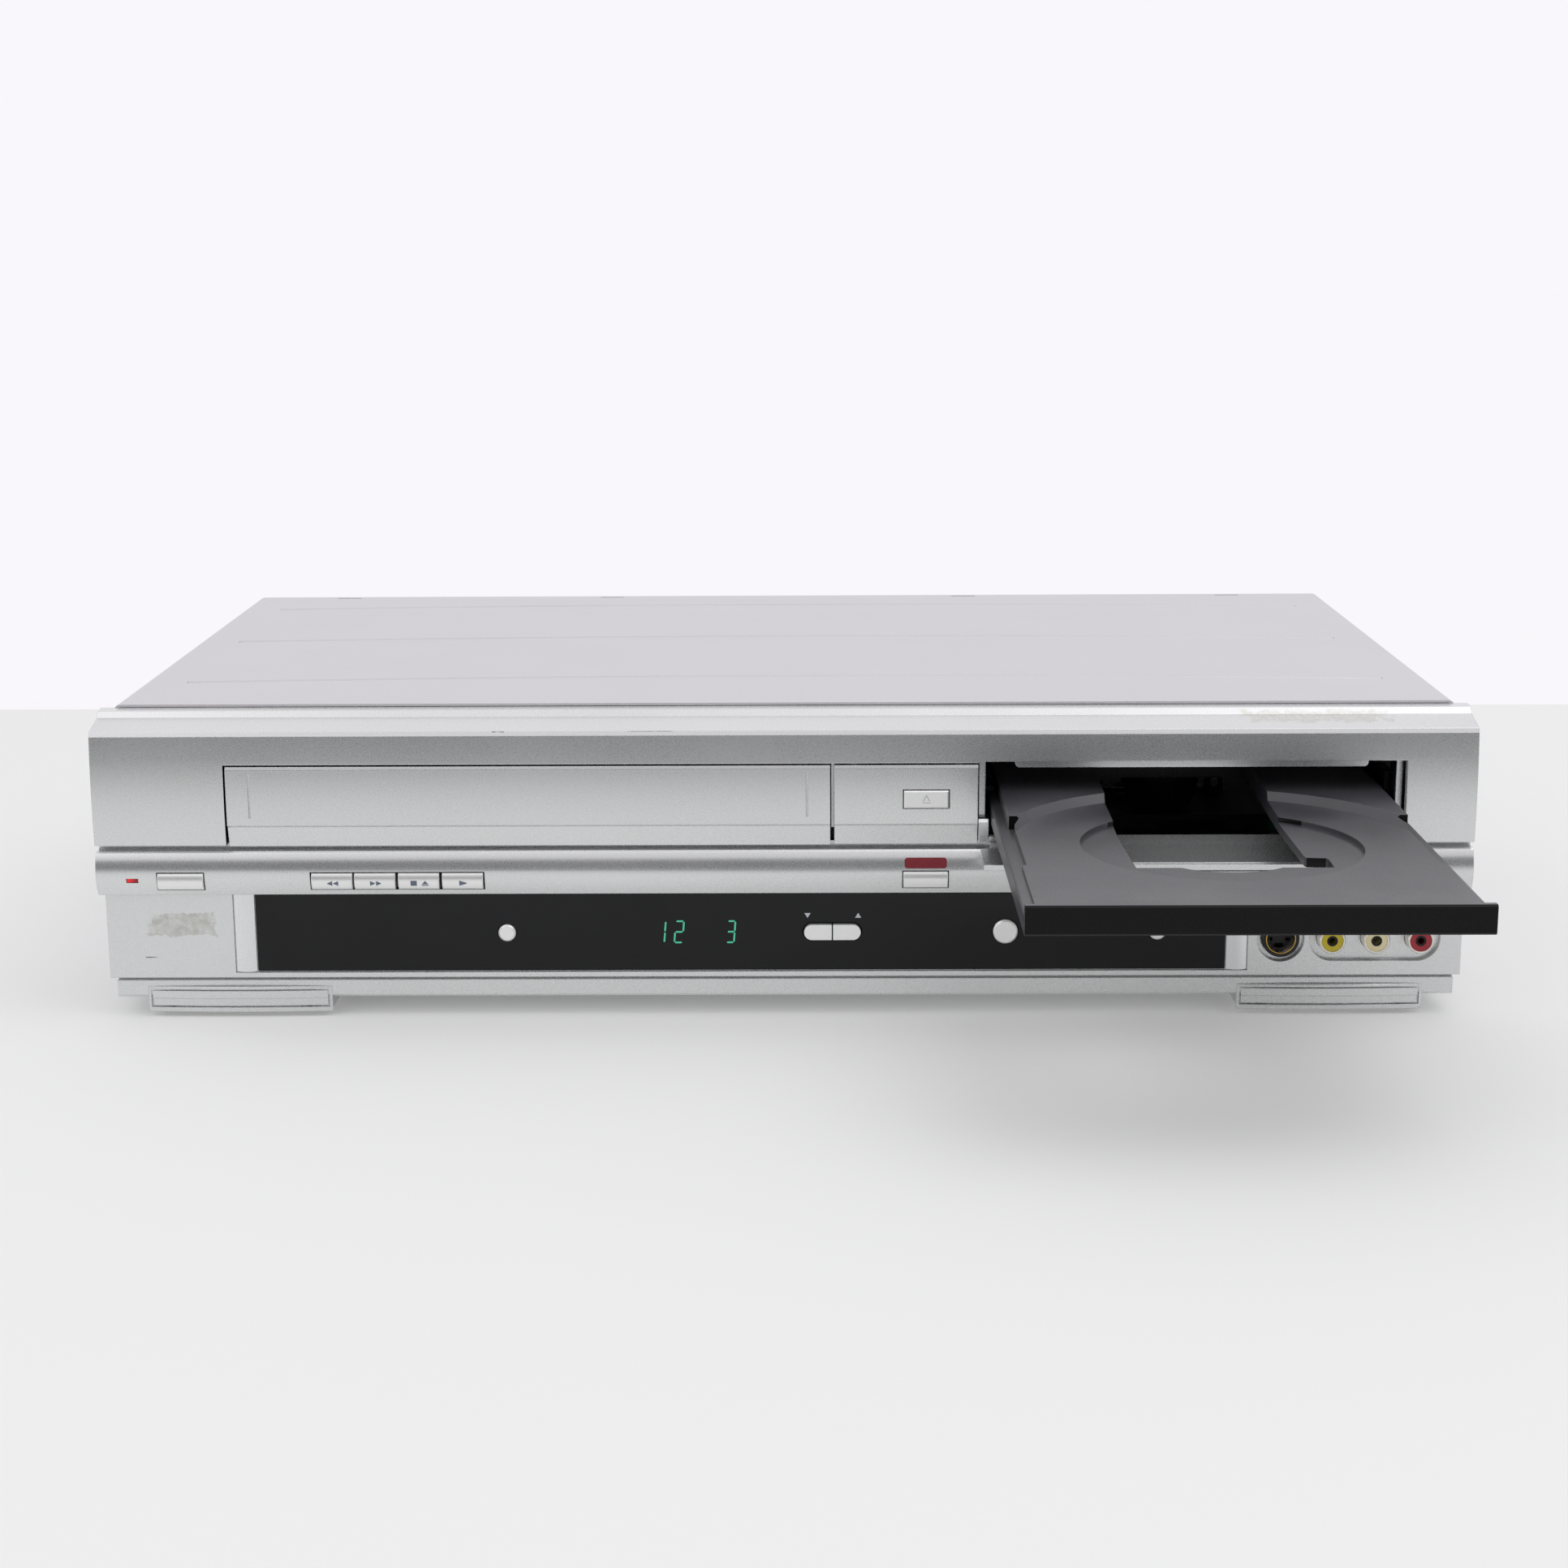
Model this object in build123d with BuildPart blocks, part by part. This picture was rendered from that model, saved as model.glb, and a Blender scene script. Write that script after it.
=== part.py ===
"""Combined disc recorder and video cassette recorder, full hi-fi width, with its disc tray out.

Millimetres. X runs to the right as seen from the front, Y to the back and Z up. The origin lies
on the surface that the player stands on, under the middle of its outline with the tray out.
Depths are measured behind the face of the front panel, heights from the surface it stands on.
"""

from build123d import *
import math
import os

# ---------------------------------------------------------------- driving dimensions
unit_width = 435.0          # front panel, side to side
body_depth = 246.0          # front panel's face to the rear panel
cover_top = 99.5            # top of the metal cover
tray_reach = 128.5          # tray lip in front of the face, tray out
tray_travel = 133.5         # how far the tray slides in
rear_reach = 9.0            # aerial sockets behind the rear panel

sheet = 0.8                 # pressed steel of the cover, pan and rear panel
skin = 2.5                  # moulded wall of the front panel
door_skin = 2.2             # moulded wall of the doors
running = 0.05              # radial clearance of a shaft in its bore
slip = 0.3                  # clearance round a part that slides or swings
seam = 0.65                 # visible gap round a door
button_travel = 0.8

# heights of the front panel's bands
pad_height = 1.5            # rubber pad under a foot
base_bottom = 6.4           # under side of the front panel and the pan
base_top = 12.1
lower_bottom = 13.4
strip_bottom = 41.2
strip_top = 55.4
upper_bottom = 57.5
edge_height = 93.5          # front edge of the sloping top

# bands stepped in at each side under the one above, and the cover behind them
lower_step = 1.8
base_step = 3.5
cover_step = 3.7
lower_width = unit_width - 2 * lower_step
base_width = unit_width - 2 * base_step
cover_width = unit_width - 2 * cover_step

# upper face, a shallow arc seen from the side
face_bulge = 1.3
face_crown = 70.0
face_radius = 197.0
panel_depth = 17.0          # front panel, face to the cover's front edge

# openings in the upper face
door_top = 82.8
door_bottom = 56.9
door_crease = 64.0          # height of the line across the doors
bay_top = 83.4
end_wall = 42.4             # left end of the front panel to the cassette door
door_width = 190.05
tray_inset = 89.0           # right end of the front panel to the middle of the tray
door_left = end_wall - unit_width / 2
door_right = door_left + door_width
tray_x = unit_width / 2 - tray_inset
slot_half = 64.6
rebate_half = 66.9
slot_top = 83.8

# disc tray
tray_top = 72.0             # top of the lip
tray_half = 60.0
rail_half = 62.9
lip_bottom = 63.6
disc_y = -59.4              # middle of the disc recess, tray out
disc_radius = 60.9
small_disc_radius = 41.0
disc_floor = 71.5           # where a 12 cm disc lies
small_disc_sink = 1.5       # the 8 cm disc lies so much lower

# tray drive
gear_module = 1.5
gear_teeth = 16
pinion_teeth = 10
pressure = math.radians(25)

# hub of the disc and height of the main mechanisms
hub_depth = 74.0
seat_height = 65.4          # where the disc rests on the hub, hub down
deck_x = door_left + door_width / 2 - 0.025   # middle of the cassette bay
deck_floor = 24.0           # under side of the cassette deck's plate
loader_floor = 47.0         # under side of the disc loader
board_bottom = 11.0
board = 1.6

face_y = tray_reach - (tray_reach + body_depth + rear_reach) / 2
half_width = unit_width / 2
back = body_depth - sheet   # front side of the rear panel
panel_left = door_right + 2 * seam
panel_right = tray_x - rebate_half - slip

os.makedirs("parts", exist_ok=True)


# ---------------------------------------------------------------- drawing planes and small helps
def facing(depth):
    """Plane across the player at a depth behind the face: X right, Z up, drawn towards the front."""
    return Plane(origin=(0, face_y + depth, 0), x_dir=(1, 0, 0), z_dir=(0, -1, 0))


def plan(height, x=0.0, depth=0.0):
    """Level plane at a height, its centre at x and at a depth behind the face."""
    return Plane(origin=(x, face_y + depth, height), x_dir=(1, 0, 0), z_dir=(0, 0, 1))


def side(x, depth=0.0, height=0.0):
    """Upright plane along the player: depth to the right, height up, drawn towards +X."""
    return Plane(origin=(x, face_y + depth, height), x_dir=(0, 1, 0), z_dir=(1, 0, 0))


def span(left, low, right, high, mode=Mode.ADD):
    """Rectangle between two corners, in the sketch that is open."""
    with Locations(((left + right) / 2, (low + high) / 2)):
        Rectangle(right - left, high - low, mode=mode)


def face_at(height):
    """Depth of the upper face's arc at a height."""
    return face_radius - face_bulge - math.sqrt(face_radius**2 - (height - face_crown) ** 2)


def door_profile(low, high, wall, hinge=(0.0, 0.0)):
    """Side outline of a door: the face's arc down to the crease, then a band that leans in."""
    drop = (0.5, 1.5)
    top_in = face_at(high) + 0.3
    points = [
        (top_in, high),
        (face_at(high - 1), high - 1),
        (face_at((high + door_crease) / 2), (high + door_crease) / 2),
        (face_at(door_crease), door_crease),
        (face_at(door_crease) + drop[0], door_crease - 0.6),
        (face_at(low) + drop[1], low),
        (face_at(low) + drop[1] + wall, low),
        (face_at(door_crease) + drop[0] + wall, door_crease - 1.6),
        (face_at((high + door_crease) / 2) + wall, (high + door_crease) / 2),
        (top_in + wall, high),
    ]
    moved = [(y - hinge[0], z - hinge[1]) for y, z in points]
    Line(moved[0], moved[1])
    ThreePointArc(moved[1], moved[2], moved[3])
    Polyline(moved[3], moved[4], moved[5], moved[6], moved[7])
    ThreePointArc(moved[7], moved[8], moved[9])
    Line(moved[9], moved[0])


def keep(builder, name):
    """Give a finished piece its name and write it out."""
    builder.part.label = name
    export_step(builder.part, f"parts/{name}.step")


# ---------------------------------------------------------------- top cover
cover_front = panel_depth
cover_bottom = 8.0
bend = 2.5
hook_inset = 37.3           # outer hooks from the cover's sides
hook_reach = cover_width / 2 - hook_inset
hook_x = (-hook_reach, -0.4 * hook_reach, 0.4 * hook_reach, hook_reach)
hook_width = 9.0
hook_depth = body_depth - 3.0
bead_half = cover_width / 2 - 14.8
bead_depths = (64.4, 146.0, 222.0)     # middle of each bead
bead_sag = 8.0                          # each bead bows back in its middle
bead_floor = 1.0
bead_mouth = 3.2
bead_sink = 0.9
vent_depth = 180.0
vent_height = 60.0

with BuildPart() as top_cover:
    with BuildSketch(facing(body_depth)):
        with BuildLine():
            FilletPolyline(
                (-cover_width / 2, cover_bottom),
                (-cover_width / 2, cover_top),
                (cover_width / 2, cover_top),
                (cover_width / 2, cover_bottom),
                radius=bend,
            )
            offset(amount=sheet, side=Side.RIGHT)
        make_face()
    extrude(amount=body_depth - cover_front)
    for bead_depth in bead_depths:
        start = (-bead_half, bead_depth - bead_sag)
        # under side of the pressed bead, then the groove on top
        for top, wide, narrow, mode in (
            (cover_top - sheet / 2, bead_mouth, bead_floor + sheet, Mode.ADD),
            (cover_top, bead_mouth, bead_floor, Mode.SUBTRACT),
        ):
            depth_here = bead_sink + (sheet / 2 if mode == Mode.ADD else 0)
            with BuildLine(plan(top)) as bead_path:
                ThreePointArc(start, (0, bead_depth), (bead_half, bead_depth - bead_sag))
            with BuildSketch(Plane(bead_path.line @ 0, z_dir=bead_path.line % 0, x_dir=(0, 0, 1))):
                with BuildLine():
                    Polyline(
                        (0, -wide / 2), (0, wide / 2), (-depth_here, narrow / 2),
                        (-depth_here, -narrow / 2), close=True,
                    )
                make_face()
            sweep(path=bead_path.line, mode=mode)
    with BuildSketch(plan(cover_top)):
        with Locations([(x, hook_depth) for x in hook_x]):
            Rectangle(hook_width + slip, sheet + 2 * slip)
    extrude(amount=-2 * sheet, mode=Mode.SUBTRACT)
    with BuildSketch(side(-cover_width)):
        with Locations((vent_depth, vent_height)):
            with GridLocations(5.5, 22, 14, 2):
                Rectangle(2.4, 17)
    extrude(amount=2 * cover_width, mode=Mode.SUBTRACT)
    with BuildSketch(side(-cover_width)):
        with Locations((45, cover_bottom + 7), (205, cover_bottom + 7)):
            Circle(1.7)
    extrude(amount=2 * cover_width, mode=Mode.SUBTRACT)
keep(top_cover, "top_cover")

# ---------------------------------------------------------------- front panel
step_depth = 10.8
shelf_height = cover_top - 0.9
wall_front = 1.6            # face of the lower band
window_left = 49.4 - half_width
window_right = half_width - 76.8
window_bottom = 15.5
window_top = strip_bottom - 0.2
window_thick = 2.2
window_rim = 2.0
trim_width = 6.4
trim_gap = 0.3              # window to trim
trim_groove = 0.5           # dark line round window and trims
trim_sink = 0.8             # how deep the trims sit in the panel
jack_z = 25.3
jack_pitch = 14.0
jack_x = half_width - 29.3
jack_ring = 4.15            # outer radius of a phono socket's ring
jack_neck = 3.4             # its neck, where it passes through the panel
video_x = half_width - 59.2
video_radius = 7.5
jack_recess_radius = 7.3
jack_recess_depth = 2.0
hinge_depth = 5.0           # cassette door pivot
hinge_height = 89.0
hinge_pin = 1.2
flap_depth = 1.5            # tray door pivot
flap_height = 58.2
flap_pin = 1.0
lug_half = rebate_half - 3.2   # the pivot lugs stand in from the rebate
button_z = 46.0
button_high = 5.4
button_gap = 0.3
transport_first = 74.8 - half_width
transport_x = [transport_first + step for step in (0.0, 13.6, 27.5, 41.4)]
transport_wide = 13.5
disc_button_wide = 25.0
disc_split = half_width - 66.5      # line between the two disc buttons
disc_button_x = [disc_split + way * (disc_button_wide / 2 + 0.15) for way in (-1, 1)]
power_x = 26.8 - half_width
power_wide = 14.6
dub_x = 45.0
dub_wide = 14.1
led_x = 11.5 - half_width
led_z = 46.3
round_z = 28.2
record_x = -88.0
record_radius = 2.75
output_x = 70.6
output_radius = 3.9
disc_record_x = 118.9
channel_x = 15.6
channel_wide = 18.0
channel_high = 5.0
tray_button_x = 45.1
tray_button_z = 72.0
board_depth = 12.0          # front circuit board behind the face

with BuildPart() as front_panel:
    # upper section, sloping top and rear shelf
    with BuildSketch(side(-half_width)):
        with BuildLine():
            Polyline(
                (panel_depth, upper_bottom), (face_at(upper_bottom), upper_bottom),
            )
            ThreePointArc(
                (face_at(upper_bottom), upper_bottom),
                (face_at(75), 75),
                (face_at(edge_height - 1.2), edge_height - 1.2),
            )
            Polyline(
                (face_at(edge_height - 1.2), edge_height - 1.2),
                (0.6, edge_height + 0.3),
                (step_depth, edge_height + 2.9),
                (step_depth + 1.4, shelf_height - 0.3),
                (panel_depth, shelf_height),
                (panel_depth, upper_bottom),
            )
        make_face()
    extrude(amount=unit_width)
    # seam groove and the bowed control strip
    with BuildSketch(side(-half_width)):
        with BuildLine():
            Polyline((panel_depth, strip_bottom), (0.3, strip_bottom))
            ThreePointArc((0.3, strip_bottom), (-1.8, 47), (-0.1, strip_top - 0.6))
            Polyline(
                (-0.1, strip_top - 0.6), (0.5, strip_top), (4.0, strip_top),
                (4.0, upper_bottom + 0.01), (panel_depth, upper_bottom + 0.01),
                (panel_depth, strip_bottom),
            )
        make_face()
    extrude(amount=unit_width)
    # lower band and base strip, stepped in at the sides
    with BuildSketch(side(-lower_width / 2)):
        with BuildLine():
            Polyline(
                (panel_depth, lower_bottom - 0.01), (wall_front, lower_bottom - 0.01),
                (wall_front, strip_bottom + 0.01), (panel_depth, strip_bottom + 0.01), close=True,
            )
        make_face()
    extrude(amount=lower_width)
    with BuildSketch(side(-base_width / 2)):
        with BuildLine():
            Polyline(
                (panel_depth, base_bottom), (4.0, base_bottom), (3.2, base_bottom + 0.8),
                (3.2, base_top), (4.8, base_top), (4.8, lower_bottom), (panel_depth, lower_bottom),
                close=True,
            )
        make_face()
    extrude(amount=base_width)
    # hollow behind, open to the back
    inner_half = base_width / 2 - skin
    with BuildSketch(side(-inner_half)):
        with BuildLine():
            Polyline(
                (panel_depth + 1, base_bottom + skin), (3.2 + skin, base_bottom + skin),
                (3.2 + skin + 1.6, base_top), (3.2 + skin + 1.6, lower_bottom + 1),
                (wall_front + window_thick + window_rim, window_bottom),
                (wall_front + window_thick + window_rim, strip_bottom + 1),
                (2.4, strip_bottom + 2.4), (2.4, strip_top - 3), (6.6, strip_top - 1),
                (6.6, upper_bottom + skin),
                (face_at(60) + skin, upper_bottom + skin + 1),
                (face_at(75) + skin, 75),
                (face_at(edge_height - skin) + skin, edge_height - skin),
                (step_depth + 0.8, edge_height + 2.9 - skin),
                (step_depth + 1.4 + skin, shelf_height - skin),
                (panel_depth + 1, shelf_height - skin),
                close=True,
            )
        make_face()
    extrude(amount=2 * inner_half, mode=Mode.SUBTRACT)
    # cassette bay with the middle panel's place beside it
    with BuildSketch(facing(panel_depth)):
        span(door_left - seam, upper_bottom, panel_right + slip, bay_top)
    extrude(amount=panel_depth + 2 * face_bulge, mode=Mode.SUBTRACT)
    # rebate for the tray door, then the slot behind it between the pivot lugs
    with BuildSketch(facing(4.0)):
        span(tray_x - rebate_half, upper_bottom, tray_x + rebate_half, slot_top)
    extrude(amount=4.0 + 2 * face_bulge, mode=Mode.SUBTRACT)
    with BuildSketch(facing(panel_depth)):
        span(tray_x - slot_half, upper_bottom, tray_x + slot_half, slot_top)
    extrude(amount=panel_depth, mode=Mode.SUBTRACT)
    # lip that hangs from the top of the slot
    with BuildSketch(facing(3.4)) as lip_sketch:
        span(tray_x - 55.5, slot_top - 2.2, tray_x + 55.0, slot_top + 0.2)
        fillet(lip_sketch.vertices().group_by(Axis.Y)[0], 1.4)
    extrude(amount=2.6)
    # pivot lugs of the tray door
    for way in (-1, 1):
        with BuildSketch(side(tray_x + way * (lug_half + 1.6) - 1.6)):
            with BuildLine():
                Polyline(
                    (6.6, upper_bottom - 1), (4.0, upper_bottom - 1), (4.0, upper_bottom),
                    (0.2, upper_bottom), (0.2, 64.0), (1.2, 65.0), (6.6, 65.0), close=True,
                )
            make_face()
            with Locations((flap_depth, flap_height)):
                Circle(flap_pin + running, mode=Mode.SUBTRACT)
        extrude(amount=3.2)
    # ribs that carry the cassette door's pivots
    for rib_x in (door_left - seam - 2.0, door_right + slip):
        with BuildSketch(side(rib_x)):
            with BuildLine():
                Polyline(
                    (6.5, upper_bottom - 0.5), (13, upper_bottom - 0.5), (13, 94.0),
                    (7.0, 93.0), (2.2, 92.2), (2.2, bay_top), (3.4, bay_top), (3.4, 62),
                    (6.5, 60), close=True,
                )
            make_face()
            with Locations((hinge_depth, hinge_height)):
                Circle(hinge_pin + running, mode=Mode.SUBTRACT)
        extrude(amount=2.0)
    # jambs of the tray slot, from the rebate back
    for way in (-1, 1):
        with BuildSketch(plan(upper_bottom - 0.5, tray_x)):
            span(
                min(way * slot_half, way * (slot_half + 2.0)), 4.0,
                max(way * slot_half, way * (slot_half + 2.0)), 13.0,
            )
        extrude(amount=slot_top + 4 - upper_bottom)
    # sunk field with a narrow groove round the window and its trims
    with BuildSketch(facing(wall_front + trim_sink)):
        span(
            window_left - trim_gap - trim_width - trim_groove, window_bottom - trim_groove,
            window_right + trim_gap + trim_width + trim_groove, strip_bottom,
        )
    extrude(amount=trim_sink + 0.2, mode=Mode.SUBTRACT)
    # seat and opening of the display window
    with BuildSketch(facing(wall_front + window_thick)):
        span(window_left - 0.1, window_bottom - 0.1, window_right + 0.1, window_top + 0.1)
    extrude(amount=window_thick + 1, mode=Mode.SUBTRACT)
    with BuildSketch(facing(panel_depth)):
        span(
            window_left + window_rim, window_bottom + window_rim,
            window_right - window_rim, window_top - window_rim,
        )
    extrude(amount=panel_depth, mode=Mode.SUBTRACT)
    # button openings in the control strip and the power light's slot
    with BuildSketch(facing(panel_depth)):
        for x in transport_x:
            with Locations((x, button_z)):
                Rectangle(transport_wide + 2 * button_gap - 0.2, button_high + 2 * button_gap)
        for x in disc_button_x:
            with Locations((x, button_z)):
                Rectangle(disc_button_wide + 2 * button_gap, button_high + 2 * button_gap)
        with Locations((power_x, button_z)):
            Rectangle(power_wide + 2 * button_gap, button_high + 2 * button_gap)
        with Locations((dub_x, button_z)):
            Rectangle(dub_wide + 2 * button_gap, button_high + 2 * button_gap)
        with Locations((led_x, led_z)):
            Rectangle(3.8, 1.4)
    extrude(amount=panel_depth + 4, mode=Mode.SUBTRACT)
    # sunk field of the front sockets, with a hole for each barrel
    with BuildSketch(facing(wall_front + jack_recess_depth)):
        with Locations((video_x, jack_z)):
            Circle(video_radius)
        with Locations((jack_x, jack_z)):
            SlotCenterToCenter(2 * jack_pitch - 1.0, 2 * jack_recess_radius)
    extrude(amount=jack_recess_depth + 1, mode=Mode.SUBTRACT)
    with BuildSketch(facing(panel_depth)):
        with Locations((video_x, jack_z)):
            Circle(5.9 + 0.1)
        with Locations([(jack_x + step * jack_pitch, jack_z) for step in (-1, 0, 1)]):
            Circle(jack_ring + 0.1)
    extrude(amount=panel_depth, mode=Mode.SUBTRACT)
    # bosses for the front circuit board
    boss_x = (17.5 - half_width, -60, 80, half_width - 69.5)
    with BuildSketch(facing(board_depth)):
        with Locations([(x, strip_bottom + 10.5) for x in boss_x]):
            Circle(2.5)
    extrude(amount=board_depth - 4.5)
    # hooks that hold the cover's front edge
    with BuildSketch(plan(shelf_height - skin)):
        with Locations([(x, panel_depth + 1) for x in (-150, -50, 50, 150)]):
            Rectangle(12, 7)
    extrude(amount=skin - 1.0)
keep(front_panel, "front_panel")

# ---------------------------------------------------------------- display window and its trims
with BuildPart() as display_window:
    with BuildSketch(facing(wall_front + window_thick)) as window_sketch:
        span(window_left, window_bottom, window_right, window_top)
        with Locations((record_x, round_z)):
            Circle(record_radius + button_gap, mode=Mode.SUBTRACT)
        with Locations((disc_record_x, round_z)):
            Circle(record_radius + button_gap, mode=Mode.SUBTRACT)
        with Locations((output_x, round_z)):
            Circle(output_radius + button_gap, mode=Mode.SUBTRACT)
        with Locations((channel_x, round_z)):
            SlotOverall(
                channel_wide + 2 * button_gap, channel_high + 2 * button_gap, mode=Mode.SUBTRACT
            )
    extrude(amount=window_thick + 0.1)
    chamfer(display_window.edges().filter_by(Axis.X).group_by(Axis.Y)[0], 0.3)
keep(display_window, "display_window")

with BuildPart() as window_trims:
    for left in (window_left - trim_gap - trim_width, window_right + trim_gap):
        right = left + trim_width
        with BuildSketch(plan(window_bottom)):
            with BuildLine():
                Polyline(
                    (left, wall_front - 0.2), (left, wall_front + trim_sink),
                    (right, wall_front + trim_sink), (right, wall_front - 0.2),
                )
                ThreePointArc(
                    (right, wall_front - 0.2), (left + trim_width / 2, wall_front - 1.1),
                    (left, wall_front - 0.2),
                )
            make_face()
        extrude(amount=strip_bottom - window_bottom)
keep(window_trims, "window_trims")

# ---------------------------------------------------------------- middle panel beside the doors
with BuildPart() as centre_panel:
    with BuildSketch(side(panel_left)):
        with BuildLine():
            door_profile(door_bottom + 0.2, door_top, door_skin)
        make_face()
    extrude(amount=panel_right - panel_left)
    # upright ribs that stand on the sill and bear against the top of the opening
    for rib_x in (panel_left + 5, panel_right - 7):
        with BuildSketch(side(rib_x)):
            with BuildLine():
                Polyline(
                    (1.0, 59), (1.0, bay_top), (8.0, bay_top), (8.0, upper_bottom),
                    (4.2, upper_bottom), close=True,
                )
            make_face()
        extrude(amount=2.0)
    with BuildSketch(facing(10)):
        with Locations((tray_button_x, tray_button_z)):
            Rectangle(14.1 + 2 * button_gap, 5.6 + 2 * button_gap)
    extrude(amount=20, mode=Mode.SUBTRACT)
keep(centre_panel, "centre_panel")

# ---------------------------------------------------------------- cassette door
arm = 2.5
with BuildPart() as cassette_door:
    with BuildSketch(side(door_left)):
        with BuildLine():
            door_profile(door_bottom, door_top, door_skin)
        make_face()
    extrude(amount=door_right - door_left)
    # goose-neck arms up behind the top of the opening, with the pivot pins
    for arm_x in (door_left, door_right - arm):
        with BuildSketch(side(arm_x)):
            with BuildLine():
                Polyline(
                    (0.6, 74), (0.6, door_top - 1.8), (hinge_depth - 2.3, door_top + 0.2),
                    (hinge_depth - 2.3, hinge_height), (hinge_depth, hinge_height),
                    (hinge_depth + 2.3, hinge_height), (hinge_depth + 2.3, door_top - 2), (2.2, 74),
                    close=True,
                )
            make_face()
            with Locations((hinge_depth, hinge_height)):
                Circle(2.3)
        extrude(amount=arm)
    with BuildSketch(side(door_left - seam - 1.8)):
        with Locations((hinge_depth, hinge_height)):
            Circle(hinge_pin)
    extrude(amount=seam + 1.8 + arm)
    with BuildSketch(side(door_right - arm)):
        with Locations((hinge_depth, hinge_height)):
            Circle(hinge_pin)
    extrude(amount=arm + slip + 1.8)
    # two upright grooves in the face, near the ends
    for groove_x in (door_left + 7.0, door_right - 7.6):
        with BuildSketch(side(groove_x)):
            span(face_at(72) - 1, door_crease + 2.5, face_at(72) + 0.45, door_top - 2.2)
        extrude(amount=0.6, mode=Mode.SUBTRACT)
    # stiffening ribs inside
    for rib_x in (deck_x - 50, deck_x, deck_x + 50):
        with BuildSketch(side(rib_x)):
            span(face_at(72) + 1.6, door_crease + 1, face_at(72) + 3.4, door_top - 1.5)
        extrude(amount=1.4)
keep(cassette_door, "cassette_door")

# ---------------------------------------------------------------- tray door, hanging open
flap_swing = 94.0
flap_turn = math.radians(flap_swing)
flap_half = rebate_half - 0.35
flap_low_half = lug_half - slip


def flap_plane(x):
    """Plane along the player, its centre on the flap's pivot, turned as the open flap is."""
    return Plane(
        origin=(x, face_y + flap_depth, flap_height),
        x_dir=(0, math.cos(flap_turn), math.sin(flap_turn)),
        z_dir=(1, 0, 0),
    )


with BuildPart() as tray_door:
    with BuildSketch(flap_plane(tray_x - flap_half)):
        with BuildLine():
            door_profile(door_bottom, slot_top - 0.6, door_skin - 0.3, (flap_depth, flap_height))
        make_face()
    extrude(amount=2 * flap_half)
    # the band beside the pivots is cut back to clear the lugs
    for way in (-1, 1):
        with BuildSketch(flap_plane(tray_x + way * (flap_low_half + 10) - 10)):
            span(-6, -3, 6, 7.3)
        extrude(amount=20, mode=Mode.SUBTRACT)
    for end in (tray_x - flap_low_half - 2.6, tray_x + flap_low_half - 2.0):
        with BuildSketch(flap_plane(end)):
            Circle(flap_pin)
        extrude(amount=4.6)
    for end in (tray_x - flap_low_half, tray_x + flap_low_half - 2.5):
        with BuildSketch(flap_plane(end)):
            Circle(1.6)
            span(-1.2, 0, 0.4, 5)
        extrude(amount=2.5)
    # low rib along the inner side, near the free edge
    flap_rib_half = 41.8
    flap_rib_low = slot_top - 2.8 - flap_height
    flap_inner = face_at(slot_top - 2.8) + door_skin - 0.3 - flap_depth
    with BuildSketch(flap_plane(tray_x - flap_rib_half)):
        span(flap_inner - 0.5, flap_rib_low - 0.4, flap_inner + 0.5, flap_rib_low + 0.4)
    extrude(amount=2 * flap_rib_half)
keep(tray_door, "tray_door")

# ---------------------------------------------------------------- steel pan, feet and rear panel
pan_front = panel_depth + 0.3
pan_half = cover_width / 2 - sheet - 0.2
pan_wall = 14.0
deck_posts = [(deck_x + x, y) for x in (-88, 88) for y in (60, 204)]
loader_posts = [(tray_x + x, y) for x in (-70, 70) for y in (34, 176)]
board_edge = pan_half - 6.8           # outer edges of the two boards
post_edge = pan_half - 12.8           # outer posts under the boards
main_posts = [(2 - post_edge, 36), (20, 32), (2 - post_edge, 228), (20, 228)]
power_posts = [(72, 106), (post_edge, 106), (72, 230), (post_edge, 230)]
floor_top = base_bottom + sheet
with BuildPart() as chassis_pan:
    with BuildSketch(facing(back)):
        with BuildLine():
            FilletPolyline(
                (-pan_half, base_bottom + pan_wall), (-pan_half, base_bottom),
                (pan_half, base_bottom), (pan_half, base_bottom + pan_wall),
                radius=1.6,
            )
            offset(amount=sheet, side=Side.LEFT)
        make_face()
    extrude(amount=back - pan_front)
    # six-sided posts for the boards and the two mechanisms
    for places, radius, top in (
        (deck_posts, 4.0, deck_floor),
        (loader_posts, 4.0, loader_floor),
        (main_posts + power_posts, 3.0, board_bottom),
    ):
        with BuildSketch(plan(floor_top - 0.2)):
            with Locations(places):
                RegularPolygon(radius, 6)
        extrude(amount=top - floor_top + 0.2)
    # air slots in the floor
    with BuildSketch(plan(base_bottom)):
        with Locations((140, 70), (-90, 120)):
            with GridLocations(8, 0, 8, 1):
                Rectangle(3, 40)
    extrude(amount=2 * sheet, mode=Mode.SUBTRACT)
keep(chassis_pan, "chassis_pan")

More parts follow.
